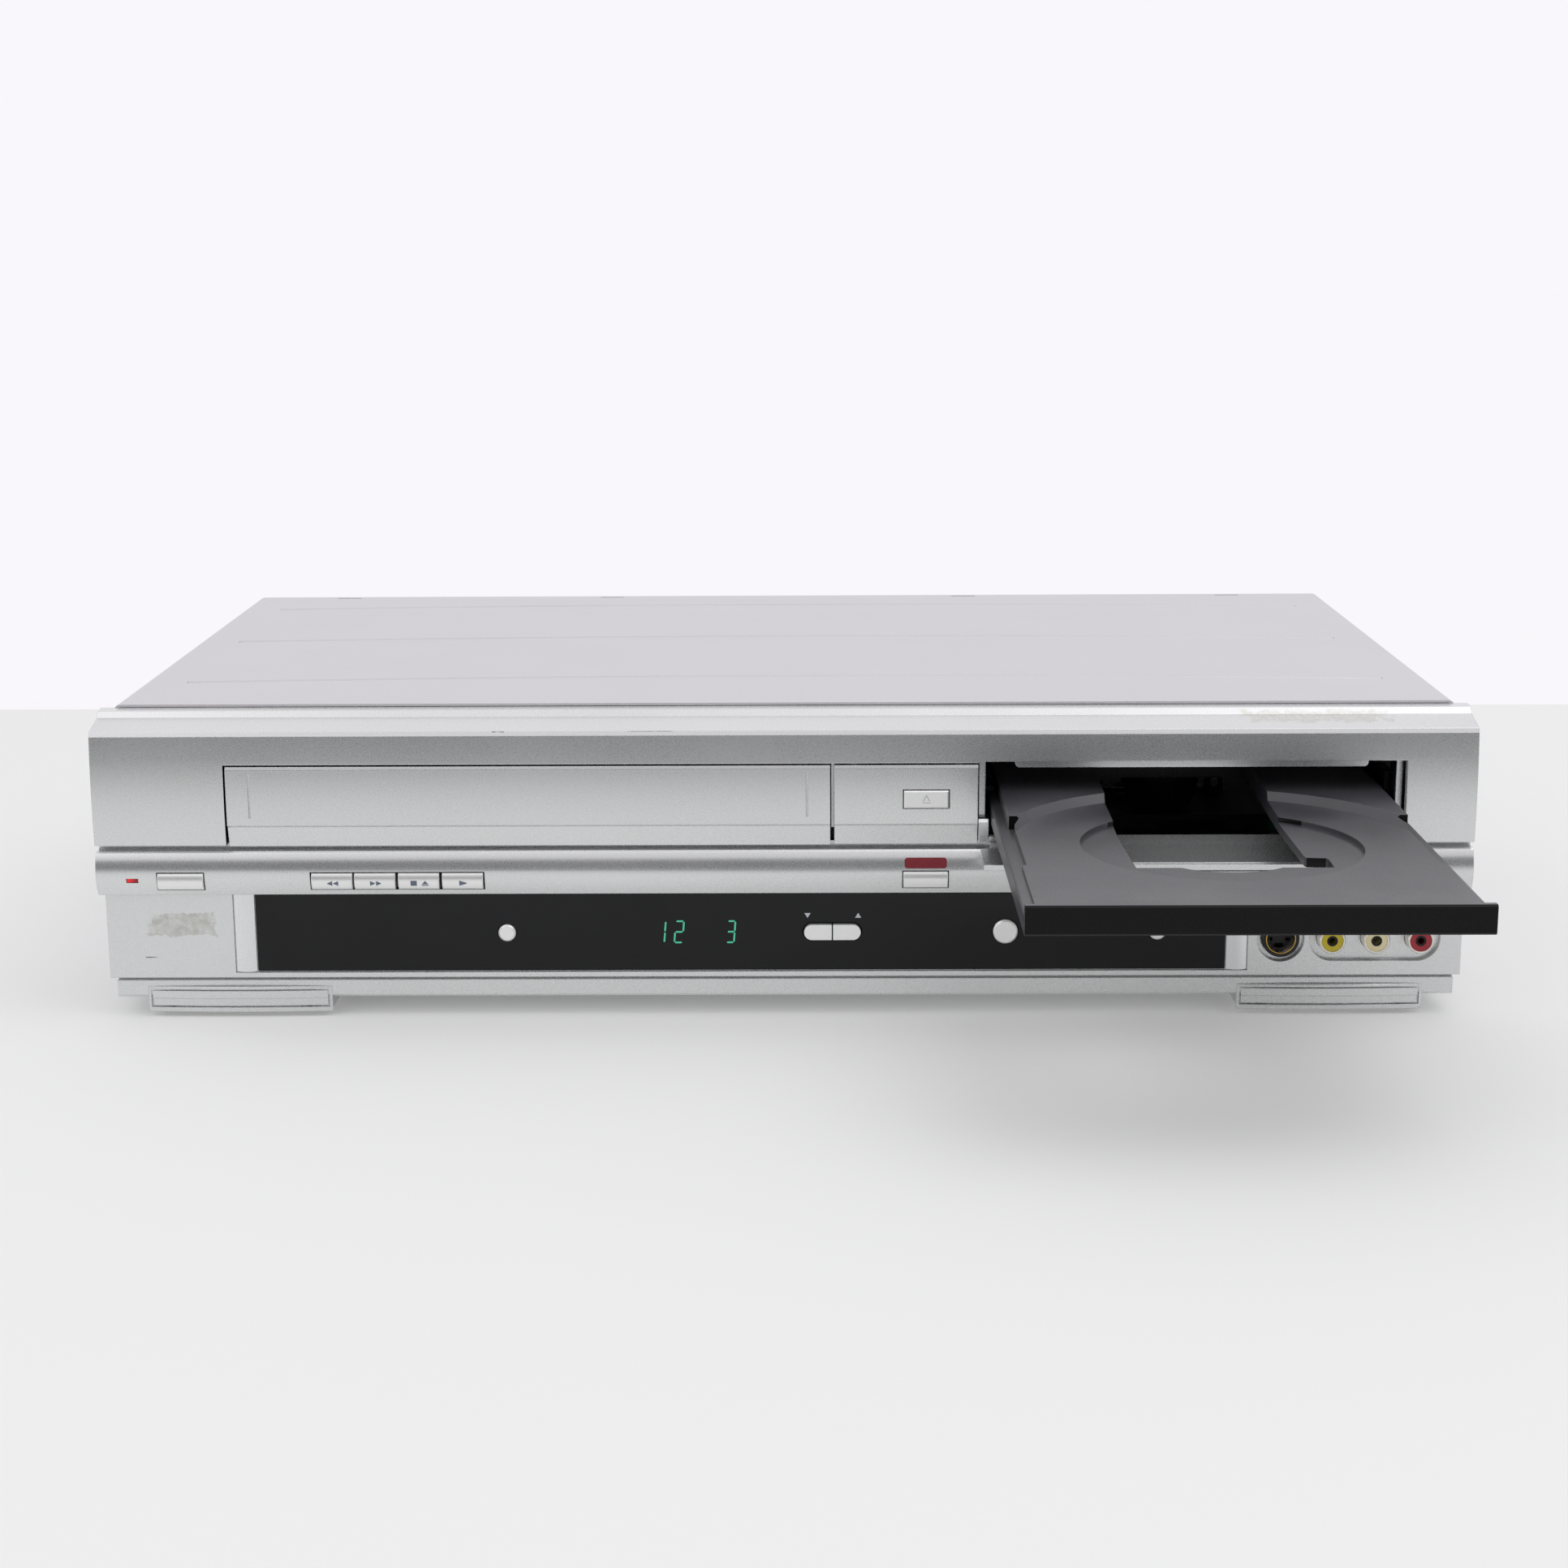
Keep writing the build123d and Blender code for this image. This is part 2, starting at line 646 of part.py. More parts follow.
foot_x = half_width - 42.7
foot_wide = 58.6
foot_front = 4.2
foot_deep = 34.0
with BuildPart() as front_feet:
    for way in (-1, 1):
        with BuildSketch(plan(pad_height, way * foot_x)):
            with BuildLine():
                Polyline(
                    (-foot_wide / 2, foot_front + 1.0), (-foot_wide / 2, foot_front + foot_deep),
                    (foot_wide / 2, foot_front + foot_deep), (foot_wide / 2, foot_front + 1.0),
                )
                ThreePointArc(
                    (foot_wide / 2, foot_front + 1.0), (0, foot_front),
                    (-foot_wide / 2, foot_front + 1.0),
                )
            make_face()
        extrude(amount=base_bottom - pad_height)
    fillet(front_feet.edges().filter_by(Axis.Z), 1.0)
    chamfer(front_feet.faces().sort_by(Axis.Z)[:2].edges().group_by(Axis.Y)[0], 0.5)
    for way in (-1, 1):
        with BuildSketch(facing(foot_front + 1.3)):
            with Locations((way * foot_x, (pad_height + base_bottom) / 2 + 0.2)):
                Rectangle(foot_wide - 3.2, 3.0)
        extrude(amount=3, mode=Mode.SUBTRACT)
    with BuildSketch(plan(pad_height)):
        with Locations([(way * foot_x, foot_front + foot_deep / 2 + 2) for way in (-1, 1)]):
            Circle(12)
    extrude(amount=0.8, mode=Mode.SUBTRACT)
keep(front_feet, "front_feet")

rear_foot_depth = 205.0
with BuildPart() as rear_feet:
    with BuildSketch(plan(pad_height)):
        with Locations([(way * foot_x, rear_foot_depth) for way in (-1, 1)]):
            Circle(14)
    extrude(amount=base_bottom - pad_height, taper=-6)
    with BuildSketch(plan(pad_height)):
        with Locations([(way * foot_x, rear_foot_depth) for way in (-1, 1)]):
            Circle(10.5)
    extrude(amount=0.8, mode=Mode.SUBTRACT)
keep(rear_feet, "rear_feet")

with BuildPart() as foot_pads:
    with BuildSketch(plan(0)):
        with Locations([(way * foot_x, foot_front + foot_deep / 2 + 2) for way in (-1, 1)]):
            Circle(11.8)
        with Locations([(way * foot_x, rear_foot_depth) for way in (-1, 1)]):
            Circle(10.3)
    extrude(amount=pad_height + 0.8)
keep(foot_pads, "foot_pads")

rear_rca_x = [-128 + jack_pitch * step for step in range(5)]
rear_rca_z = (24.0, 40.0)
rf_x = 18.8 - pan_half
rf_opening = (15.0, 33.0)
rf_z = (26.0, 44.0)
inlet_x = pan_half - 26.8
inlet_z = 24.0
fan_x = 92.0
fan_z = 60.0
fan_size = 40.0
with BuildPart() as rear_panel:
    with BuildSketch(facing(body_depth)):
        span(-pan_half, base_bottom, pan_half, cover_top - sheet - bead_sink - 0.4)
        for z in rear_rca_z:
            with Locations([(x, z) for x in rear_rca_x]):
                Circle(4.4, mode=Mode.SUBTRACT)
        with Locations((rf_x, sum(rf_z) / 2)):
            RectangleRounded(*rf_opening, 2, mode=Mode.SUBTRACT)
        with Locations((inlet_x, inlet_z)):
            RectangleRounded(23, 13.5, 2, mode=Mode.SUBTRACT)
        # fan grille: upright bars left between slots, cut to a round field
        for step in range(-3, 4):
            reach = math.sqrt(18.0**2 - (step * 5.0) ** 2)
            with Locations((fan_x + step * 5.0, fan_z)):
                Rectangle(3.4, 2 * reach, mode=Mode.SUBTRACT)
    extrude(amount=sheet)
    # hooks through the cover's slots, each on a tab bent forward from the panel
    for x in hook_x:
        with BuildSketch(side(x - hook_width / 2)):
            with BuildLine():
                Polyline(
                    (body_depth - sheet / 2, 88), (body_depth - sheet / 2, 89), (hook_depth + 0.4, 91),
                    (hook_depth + 0.4, cover_top - 0.1), (hook_depth - 0.4, cover_top - 0.1),
                    (hook_depth - 0.4, 90.4), (body_depth - sheet - 0.1, 88), close=True,
                )
            make_face()
        extrude(amount=hook_width)
keep(rear_panel, "rear_panel")

screw_head = 3.2
with BuildPart() as case_screws:
    for way in (-1, 1):
        with BuildSketch(side(way * cover_width / 2)):
            with Locations((45, cover_bottom + 7), (205, cover_bottom + 7)):
                Circle(screw_head)
        extrude(amount=way * 1.6)
        with BuildSketch(side(way * cover_width / 2)):
            with Locations((45, cover_bottom + 7), (205, cover_bottom + 7)):
                Circle(1.5)
        extrude(amount=-way * (sheet + 0.0))
    with BuildSketch(facing(body_depth)):
        with Locations((-post_edge, 90), (0, 90), (post_edge, 90), (-60, 12), (60, 12)):
            Circle(screw_head)
    extrude(amount=-1.6)
keep(case_screws, "case_screws")

# ---------------------------------------------------------------- circuit boards and display
with BuildPart() as main_board:
    with BuildSketch(plan(board_bottom)):
        span(2 - board_edge, 28, 26, 236)
        with Locations(deck_posts):
            Circle(4.0 + slip, mode=Mode.SUBTRACT)
    extrude(amount=board)
    with BuildSketch(plan(board_bottom + board)):
        with Locations((-150, 60), (-60, 55), (-20, 90)):
            Rectangle(24, 24)
        with Locations((-100, 100), (-165, 120)):
            Rectangle(14, 30)
    extrude(amount=2.6)
    with BuildSketch(plan(board_bottom + board)):
        with Locations([(x, 222) for x in (-150, -30, -10, 10)]):
            Circle(4)
    extrude(amount=9)
keep(main_board, "main_board")

with BuildPart() as power_board:
    with BuildSketch(plan(board_bottom)):
        span(66, 100, board_edge, 236)
        with Locations(loader_posts[3]):
            Circle(4.0 + slip, mode=Mode.SUBTRACT)
    extrude(amount=board)
    # mains transformer, smoothing capacitors and heat sink
    with BuildSketch(plan(board_bottom + board)):
        with Locations((120, 160)):
            Rectangle(34, 30)
    extrude(amount=28)
    with BuildSketch(plan(board_bottom + board + 6)):
        with Locations((120, 160)):
            Rectangle(40, 22)
    extrude(amount=14)
    with BuildSketch(plan(board_bottom + board)):
        with Locations((168, 150)):
            Circle(12)
        with Locations((80, 140), (80, 156), (80, 172)):
            Circle(5.5)
    extrude(amount=27)
    with BuildSketch(plan(board_bottom + board)):
        span(140, 190, 180, 193)
        for x in range(142, 180, 6):
            span(x, 193, x + 1.5, 203)
    extrude(amount=26)
keep(power_board, "power_board")

with BuildPart() as front_board:
    with BuildSketch(facing(board_depth + board)):
        span(2.5 - inner_half, 12, inner_half - 2.5, strip_top - 1.5)
    extrude(amount=board)
    # switches behind the buttons of the strip and of the window
    with BuildSketch(facing(board_depth)):
        with Locations([(x, button_z) for x in transport_x + disc_button_x + [power_x, dub_x]]):
            Rectangle(6, 4.4)
        with Locations([(x, round_z) for x in (record_x, disc_record_x, output_x)]):
            Rectangle(6, 6)
        with Locations((channel_x - 4.6, round_z), (channel_x + 4.6, round_z)):
            Rectangle(6, 6)
    extrude(amount=3.5)
keep(front_board, "front_board")

with BuildPart() as display_tube:
    with BuildSketch(facing(board_depth)):
        span(-62, 17.8, -2, 38.6)
    extrude(amount=5.6)
    fillet(display_tube.edges().filter_by(Axis.Y), 1.5)
    # metal frame of the tube's front glass
    with BuildSketch(facing(board_depth - 5.6)):
        span(-58, 20.8, -6, 35.6)
    extrude(amount=0.5)
keep(display_tube, "display_tube")

with BuildPart() as power_led:
    with BuildSketch(facing(board_depth)):
        with Locations((led_x, led_z)):
            Rectangle(3.6, 1.2)
    extrude(amount=board_depth + 1.3)
keep(power_led, "power_led")

# ---------------------------------------------------------------- sockets
with BuildPart() as video_socket:
    with BuildSketch(facing(board_depth)):
        with Locations((video_x, jack_z)):
            Rectangle(13, 13)
    extrude(amount=board_depth - wall_front - window_thick - window_rim)
    with BuildSketch(facing(7)):
        with Locations((video_x, jack_z)):
            Circle(5.9)
            Circle(4.7, mode=Mode.SUBTRACT)
    extrude(amount=7 - wall_front + 0.4)
    with BuildSketch(facing(7)):
        with Locations((video_x, jack_z)):
            Circle(4.8)
    extrude(amount=2.0)
    # four pin holes and the key slot
    with BuildSketch(facing(7)):
        with Locations([(video_x + x, jack_z + z) for x, z in ((-1.7, 1), (1.7, 1), (-2.6, -1), (2.6, -1))]):
            Circle(0.6)
        with Locations((video_x, jack_z - 2.9)):
            Rectangle(2.6, 1.2)
    extrude(amount=3.0, mode=Mode.SUBTRACT)
keep(video_socket, "front_video_socket")

pin_bore = 1.65
socket_names = ("front_yellow_jack", "front_white_jack", "front_red_jack")
for step, socket_name in zip((-1, 0, 1), socket_names):
    with BuildPart() as front_jack:
        with BuildSketch(facing(board_depth)):
            with Locations((jack_x + step * jack_pitch, jack_z)):
                Rectangle(10.5, 12)
        extrude(amount=board_depth - wall_front - window_thick - window_rim)
        with BuildSketch(facing(7)):
            with Locations((jack_x + step * jack_pitch, jack_z)):
                Circle(jack_neck)
        extrude(amount=7 - wall_front - jack_recess_depth)
        with BuildSketch(facing(wall_front + jack_recess_depth)):
            with Locations((jack_x + step * jack_pitch, jack_z)):
                Circle(jack_ring)
        extrude(amount=wall_front + jack_recess_depth + 1.2)
        chamfer(front_jack.faces().sort_by(Axis.Y)[0].edges(), 0.4)
        with BuildSketch(facing(10)):
            with Locations((jack_x + step * jack_pitch, jack_z)):
                Circle(pin_bore)
        extrude(amount=20, mode=Mode.SUBTRACT)
    keep(front_jack, socket_name)

rca_reach = 7.0
with BuildPart() as rear_sockets:
    with BuildSketch(facing(back)):
        span(rear_rca_x[0] - 7, board_bottom + board, rear_rca_x[-1] + 7, rear_rca_z[1] + 8)
    extrude(amount=12)
    for start, reach, radius in (
        (back, sheet + slip, jack_neck),
        (body_depth + slip, rca_reach - slip, jack_ring),
    ):
        with BuildSketch(facing(start)):
            for z in rear_rca_z:
                with Locations([(x, z) for x in rear_rca_x]):
                    Circle(radius)
        extrude(amount=-reach)
    with BuildSketch(facing(back - 8)):
        for z in rear_rca_z:
            with Locations([(x, z) for x in rear_rca_x]):
                Circle(pin_bore)
    extrude(amount=-(8 + sheet + rca_reach), mode=Mode.SUBTRACT)
keep(rear_sockets, "rear_sockets")

with BuildPart() as tuner:
    with BuildSketch(facing(back)):
        span(rf_x - 12, board_bottom + board, rf_x + 12, 56)
    extrude(amount=48)
    with BuildSketch(facing(back)):
        with Locations([(rf_x, z) for z in rf_z]):
            Circle(4.8)
            Circle(1.2, mode=Mode.SUBTRACT)
    extrude(amount=-(sheet + rear_reach))
    fillet(tuner.edges().filter_by(Axis.Y).group_by(SortBy.LENGTH)[-1], 0.8)
keep(tuner, "tuner")

with BuildPart() as mains_inlet:
    with BuildSketch(facing(body_depth + 2)):
        with Locations((inlet_x, inlet_z)):
            RectangleRounded(26.5, 17, 3)
    extrude(amount=2)
    with BuildSketch(facing(body_depth + 1)):
        with Locations((inlet_x, inlet_z)):
            RectangleRounded(22.6, 13.1, 2)
    extrude(amount=20)
    with BuildSketch(facing(body_depth + 2)):
        with Locations((inlet_x, inlet_z)):
            SlotOverall(16.5, 9)
    extrude(amount=13, mode=Mode.SUBTRACT)
    with BuildSketch(facing(body_depth - 11.5)):
        with Locations((inlet_x - 4.3, inlet_z), (inlet_x + 4.3, inlet_z)):
            Circle(1.2)
    extrude(amount=-10.5)
    # legs down to the power board
    with BuildSketch(plan(board_bottom + board, inlet_x)):
        span(-9, body_depth - 17, 9, body_depth - 11)
    extrude(amount=inlet_z - 6.6 - board_bottom - board + 0.2)
keep(mains_inlet, "mains_inlet")

# ---------------------------------------------------------------- fan
with BuildPart() as fan_frame:
    with BuildSketch(facing(back)):
        with Locations((fan_x, fan_z)):
            RectangleRounded(fan_size, fan_size, 2)
            Circle(18.6, mode=Mode.SUBTRACT)
    extrude(amount=10)
    with BuildSketch(facing(back - 8.6)):
        with Locations((fan_x, fan_z)):
            Circle(8)
            Rectangle(38, 3)
            Rectangle(3, 38)
    extrude(amount=1.4)
    with BuildSketch(facing(back - 1.4)):
        with Locations((fan_x, fan_z)):
            Circle(1.2)
    extrude(amount=7.4)
keep(fan_frame, "fan_frame")

with BuildPart() as fan_rotor:
    with BuildSketch(facing(back - 1.2)):
        with Locations((fan_x, fan_z)):
            Circle(9)
            Circle(1.2 + running, mode=Mode.SUBTRACT)
    extrude(amount=7)
    # blades: leaning slats from the hub to just inside the frame
    for blade in range(7):
        turn = math.radians(blade * 360 / 7)
        blade_plane = Plane(
            origin=(fan_x + 8.5 * math.cos(turn), face_y + back - 4.6, fan_z + 8.5 * math.sin(turn)),
            x_dir=(-math.sin(turn) * 0.8, 0.6, math.cos(turn) * 0.8),
            z_dir=(math.cos(turn), 0, math.sin(turn)),
        )
        with BuildSketch(blade_plane):
            Rectangle(7.6, 0.9)
        extrude(amount=8.6)
keep(fan_rotor, "fan_rotor")

# ---------------------------------------------------------------- buttons of the strip and window
stem_reach = board_depth - 3.5 - button_travel - 0.25   # rear end of a stem, just off its switch
strip_buttons = [
    ("power_button", power_x, power_wide),
    ("rewind_button", transport_x[0], transport_wide - 0.5),
    ("forward_button", transport_x[1], transport_wide - 0.5),
    ("stop_eject_button", transport_x[2], transport_wide - 0.5),
    ("play_button", transport_x[3], transport_wide - 0.5),
    ("dubbing_button", dub_x, dub_wide),
    ("disc_stop_button", disc_button_x[0], disc_button_wide),
    ("disc_play_button", disc_button_x[1], disc_button_wide),
]
for button_name, x, wide in strip_buttons:
    with BuildPart() as strip_button:
        with BuildSketch(side(x - wide / 2)):
            with BuildLine():
                Line((2.0, button_z - button_high / 2), (-1.6, button_z - button_high / 2))
                ThreePointArc(
                    (-1.6, button_z - button_high / 2), (-2.7, button_z),
                    (-2.0, button_z + button_high / 2),
                )
                Polyline(
                    (-2.0, button_z + button_high / 2), (2.0, button_z + button_high / 2),
                    (2.0, button_z - button_high / 2),
                )
            make_face()
        extrude(amount=wide)
        chamfer(strip_button.faces().sort_by(Axis.Y)[0].edges().filter_by(Axis.Z, reverse=True), 0.25)
        with BuildSketch(facing(stem_reach)):
            with Locations((x, button_z)):
                Rectangle(3.0, 2.4)
        extrude(amount=stem_reach - 1.5)
    keep(strip_button, button_name)

round_buttons = [
    ("tape_record_button", record_x, record_radius),
    ("disc_record_button", disc_record_x, record_radius),
    ("output_button", output_x, output_radius),
]
for button_name, x, radius in round_buttons:
    with BuildPart() as round_button:
        with BuildSketch(facing(wall_front + 3)):
            with Locations((x, round_z)):
                Circle(radius)
        extrude(amount=4.4)
        chamfer(round_button.faces().sort_by(Axis.Y)[0].edges(), 0.5)
        with BuildSketch(facing(stem_reach)):
            with Locations((x, round_z)):
                Circle(1.5)
        extrude(amount=stem_reach - 4)
    keep(round_button, button_name)

for button_name, way in (("channel_down_button", -1), ("channel_up_button", 1)):
    with BuildPart() as channel_button:
        with BuildSketch(facing(wall_front + 3)):
            with Locations((channel_x, round_z)):
                SlotOverall(channel_wide, channel_high)
                with Locations((-way * channel_wide / 2 + way * 0.2, 0)):
                    Rectangle(channel_wide, channel_high + 1, mode=Mode.SUBTRACT)
        extrude(amount=4.4)
        with BuildSketch(facing(stem_reach)):
            with Locations((channel_x + way * 4.6, round_z)):
                Circle(1.5)
        extrude(amount=stem_reach - 4)
    keep(channel_button, button_name)

with BuildPart() as tray_button:
    with BuildSketch(facing(4.5)):
        with Locations((tray_button_x, tray_button_z)):
            Rectangle(14.1, 5.6)
    extrude(amount=4.5 + face_bulge + 1.0)
    chamfer(tray_button.faces().sort_by(Axis.Y)[0].edges(), 0.4)
keep(tray_button, "tray_button")

# ---------------------------------------------------------------- disc loader
gear_x = tray_x - 40.0
gear_depth = 27.0
loader_front = 15.5
loader_back = 200.0
loader_wall = 2.5
channel_half = rail_half + 0.6
loader_rim = 76.8
rail_rise = 0.6             # the rails' tops rise so much towards the tray
with BuildPart() as loader_frame:
    with BuildSketch(plan(loader_floor, tray_x)):
        span(-channel_half - loader_wall, loader_front, channel_half + loader_wall, loader_back)
    extrude(amount=loader_rim - loader_floor)
    with BuildSketch(plan(loader_floor + 2, tray_x)):
        span(-channel_half, loader_front - 1, channel_half, loader_back - loader_wall)
    extrude(amount=loader_rim, mode=Mode.SUBTRACT)
    # ledges under the tray's rails, and tabs that hold the rails down
    for way in (-1, 1):
        with BuildSketch(plan(lip_bottom - slip - 2.8, tray_x)):
            span(
                min(way * (tray_half - 0.4), way * (channel_half + 0.5)), loader_front,
                max(way * (tray_half - 0.4), way * (channel_half + 0.5)), loader_back - 1,
            )
        extrude(amount=2.8)
        with BuildSketch(plan(lip_bottom + 5.7 + rail_rise + slip, tray_x)):
            for low in (18, 66, 120):
                span(
                    min(way * (tray_half + 1), way * (channel_half + 0.5)), low,
                    max(way * (tray_half + 1), way * (channel_half + 0.5)), low + 12,
                )
        extrude(amount=1.6)
    # floor cut away round the traverse
    with BuildSketch(plan(loader_floor - 1, tray_x)):
        span(-36, 52, 40, 172)
    extrude(amount=4, mode=Mode.SUBTRACT)
    # pivot lugs of the traverse
    for way in (-1, 1):
        with BuildSketch(side(tray_x + 2 + way * 35 - 1.5)):
            span(178, loader_floor, 192, 60)
            with Locations((184, 56)):
                Circle(1.5 + running, mode=Mode.SUBTRACT)
        extrude(amount=3)
    # gear post, and the ears over the pan's posts
    with BuildSketch(plan(loader_floor + 1, gear_x, gear_depth)):
        Circle(2.0)
    extrude(amount=19)
    with BuildSketch(plan(loader_floor, tray_x)):
        for x in (-70, 70):
            for depth in (34, 176):
                with Locations((x, depth)):
                    Circle(4.5)
    extrude(amount=3)
keep(loader_frame, "loader_frame")


def gear_points(teeth, thin):
    """Outline of a stub-toothed involute gear; thin is the play cut from each tooth's width."""
    pitch_radius = gear_module * teeth / 2
    base_radius = pitch_radius * math.cos(pressure)
    root_radius = pitch_radius - 1.05 * gear_module
    tip_radius = pitch_radius + 0.8 * gear_module
    rise = math.tan(pressure) - pressure
    flank = []
    for share in (0.0, 0.35, 0.7, 1.0):
        radius = root_radius + share * (tip_radius - root_radius)
        roll = math.acos(min(1.0, base_radius / radius))
        half = math.pi / (2 * teeth) + rise - (math.tan(roll) - roll) - thin / (2 * pitch_radius)
        flank.append((radius, half))
    points = []
    for tooth in range(teeth):
        middle = tooth * 2 * math.pi / teeth
        for radius, half in flank:
            points.append((radius * math.cos(middle - half), radius * math.sin(middle - half)))
        for radius, half in reversed(flank):
            points.append((radius * math.cos(middle + half), radius * math.sin(middle + half)))
    return points


gear_play = 0.16
gear_pitch = gear_module * gear_teeth / 2
pinion_pitch = gear_module * pinion_teeth / 2
gear_low = lip_bottom + 0.4
gear_high = lip_bottom + 3.0
with BuildPart() as tray_gear:
    with BuildSketch(plan(gear_low, gear_x, gear_depth)):
        with BuildLine():
            Polyline(*gear_points(gear_teeth, gear_play), close=True)
        make_face()
    extrude(amount=gear_high - gear_low)
    with BuildSketch(plan(loader_floor + 2.1, gear_x, gear_depth)):
        Circle(4.5)
    extrude(amount=gear_low - loader_floor - 2.1)
    with BuildSketch(plan(loader_floor, gear_x, gear_depth)):
        Circle(2.0 + running)
    extrude(amount=40, mode=Mode.SUBTRACT)
keep(tray_gear, "tray_gear")

pinion_depth = gear_depth + gear_pitch + pinion_pitch
with BuildPart() as motor_pinion:
    with BuildSketch(plan(gear_low, gear_x, pinion_depth)):
        with BuildLine():
            Polyline(*gear_points(pinion_teeth, gear_play), close=True)
        make_face()
    extrude(amount=gear_high - gear_low - 0.3)
    with BuildSketch(plan(loader_floor + 9.3, gear_x, pinion_depth)):
        Circle(3.2)
    extrude(amount=gear_low - loader_floor - 9.3)
    with BuildSketch(plan(loader_floor, gear_x, pinion_depth)):
        Circle(1.0 + running)
    extrude(amount=40, mode=Mode.SUBTRACT)
keep(motor_pinion, "motor_pinion")

with BuildPart() as tray_motor:
    with BuildSketch(plan(loader_floor + 2, gear_x, pinion_depth)):
        Circle(9)
        Rectangle(20, 12)
    extrude(amount=7)
    with BuildSketch(plan(loader_floor + 9, gear_x, pinion_depth)):
        Circle(1.0)
    extrude(amount=gear_high - loader_floor - 9)
keep(tray_motor, "tray_motor")

# ---------------------------------------------------------------- disc tray
tray_back = 52.0
plate_bottom = 67.2
deck_top = 74.1
rail_top = lip_bottom + 5.7
waist_half = 58.7
waist_depths = (-82.5, -33.5)
cut_front = -80.5
cut_back = 44.0
cut_bow = 5.6               # the front of the opening bows so much forward
cone_spread = 2.3           # the recess is so much wider at the deck's top
rack_line = gear_x - gear_pitch - tray_x        # rack pitch line, from the tray's middle
rack_pitch = math.pi * gear_module
with BuildPart() as disc_tray:
    with BuildSketch(plan(plate_bottom, tray_x)):
        span(-tray_half, -tray_reach + 0.5, tray_half, tray_back)
    extrude(amount=disc_floor - plate_bottom)
    # raised deck behind the disc
    with BuildSketch(plan(disc_floor - 0.1, tray_x)):
        span(-tray_half, disc_y + 14, tray_half, tray_back)
    extrude(amount=deck_top - disc_floor + 0.1)
    # front lip and the side rails
    with BuildSketch(side(tray_x - rail_half)):
        with BuildLine():
            Polyline(
                (-tray_reach, lip_bottom + 0.6), (-tray_reach + 0.6, lip_bottom),
                (-tray_reach + 2.4, lip_bottom), (-tray_reach + 2.4, tray_top),
                (-tray_reach + 0.6, tray_top), (-tray_reach, tray_top - 0.6), close=True,
            )
        make_face()
    extrude(amount=2 * rail_half)
    for way in (-1, 1):
        with BuildSketch(facing(tray_back)):
            with BuildLine():
                Polyline(
                    (tray_x + way * 57.6, lip_bottom), (tray_x + way * rail_half, lip_bottom),
                    (tray_x + way * rail_half, rail_top - 0.5),
                    (tray_x + way * (rail_half - 0.5), rail_top),
                    (tray_x + way * (tray_half - 0.3), rail_top + rail_rise),
                    (tray_x + way * 57.6, rail_top), close=True,
                )
            make_face()
        extrude(amount=tray_back + tray_reach - 1.0)
    # recess for a 12 cm disc with a sloping wall, and the 8 cm one inside it
    with Locations((tray_x, face_y + disc_y, disc_floor)):
        Cone(
            disc_radius, disc_radius + cone_spread * 2, 2 * (deck_top - disc_floor),
            align=(Align.CENTER, Align.CENTER, Align.MIN), mode=Mode.SUBTRACT,
        )
    with Locations((tray_x, face_y + disc_y, disc_floor - small_disc_sink)):
        Cylinder(
            small_disc_radius, 5, align=(Align.CENTER, Align.CENTER, Align.MIN), mode=Mode.SUBTRACT
        )
    # waist beside the disc, for the fingers
    for way in (-1, 1):
        with BuildSketch(plan(rail_top + rail_rise, tray_x)):
            span(
                min(way * waist_half, way * (rail_half + 1)), waist_depths[0],
                max(way * waist_half, way * (rail_half + 1)), waist_depths[1],
            )
            # notch where the deck's front corner meets the waist
            with BuildLine():
                Polyline(
                    (way * 57.0, waist_depths[1]), (way * (waist_half + 1), waist_depths[1]),
                    (way * (waist_half + 1), waist_depths[1] - 9), close=True,
                )
            make_face()
        extrude(amount=10, mode=Mode.SUBTRACT)
    # opening for the hub and the pickup
    with BuildSketch(plan(lip_bottom - 1, tray_x)):
        with BuildLine():
            Polyline(
                (-14.6, cut_front), (-27.4, cut_front), (-28.3, -45), (-27.9, -6), (-27.0, cut_back),
                (24.6, cut_back), (23.1, -5), (22.4, -31), (22.6, -68), (23.0, -69.4),
                (28.5, -70.0), (29.0, -70.9), (28.9, cut_front), (14.2, cut_front),
            )
            ThreePointArc((14.2, cut_front), (-0.2, cut_front - cut_bow), (-14.6, cut_front))
        make_face()
    extrude(amount=20, mode=Mode.SUBTRACT)
    # channel in the under side of the rear bridge, over the hub
    with BuildSketch(plan(lip_bottom - 1, tray_x)):
        span(-17, cut_back - 1, 17, tray_back + 1)
    extrude(amount=seat_height + 2.0 + 4 * slip - lip_bottom + 1, mode=Mode.SUBTRACT)
    # hollow under the front of the tray
    with BuildSketch(plan(plate_bottom - 1, tray_x)):
        with GridLocations(28.5, 0, 4, 1):
            with Locations((0, (cut_front - cut_bow - tray_reach + 2.4) / 2 + 0.5)):
                Rectangle(27, 26)
    extrude(amount=1 + 1.6, mode=Mode.SUBTRACT)
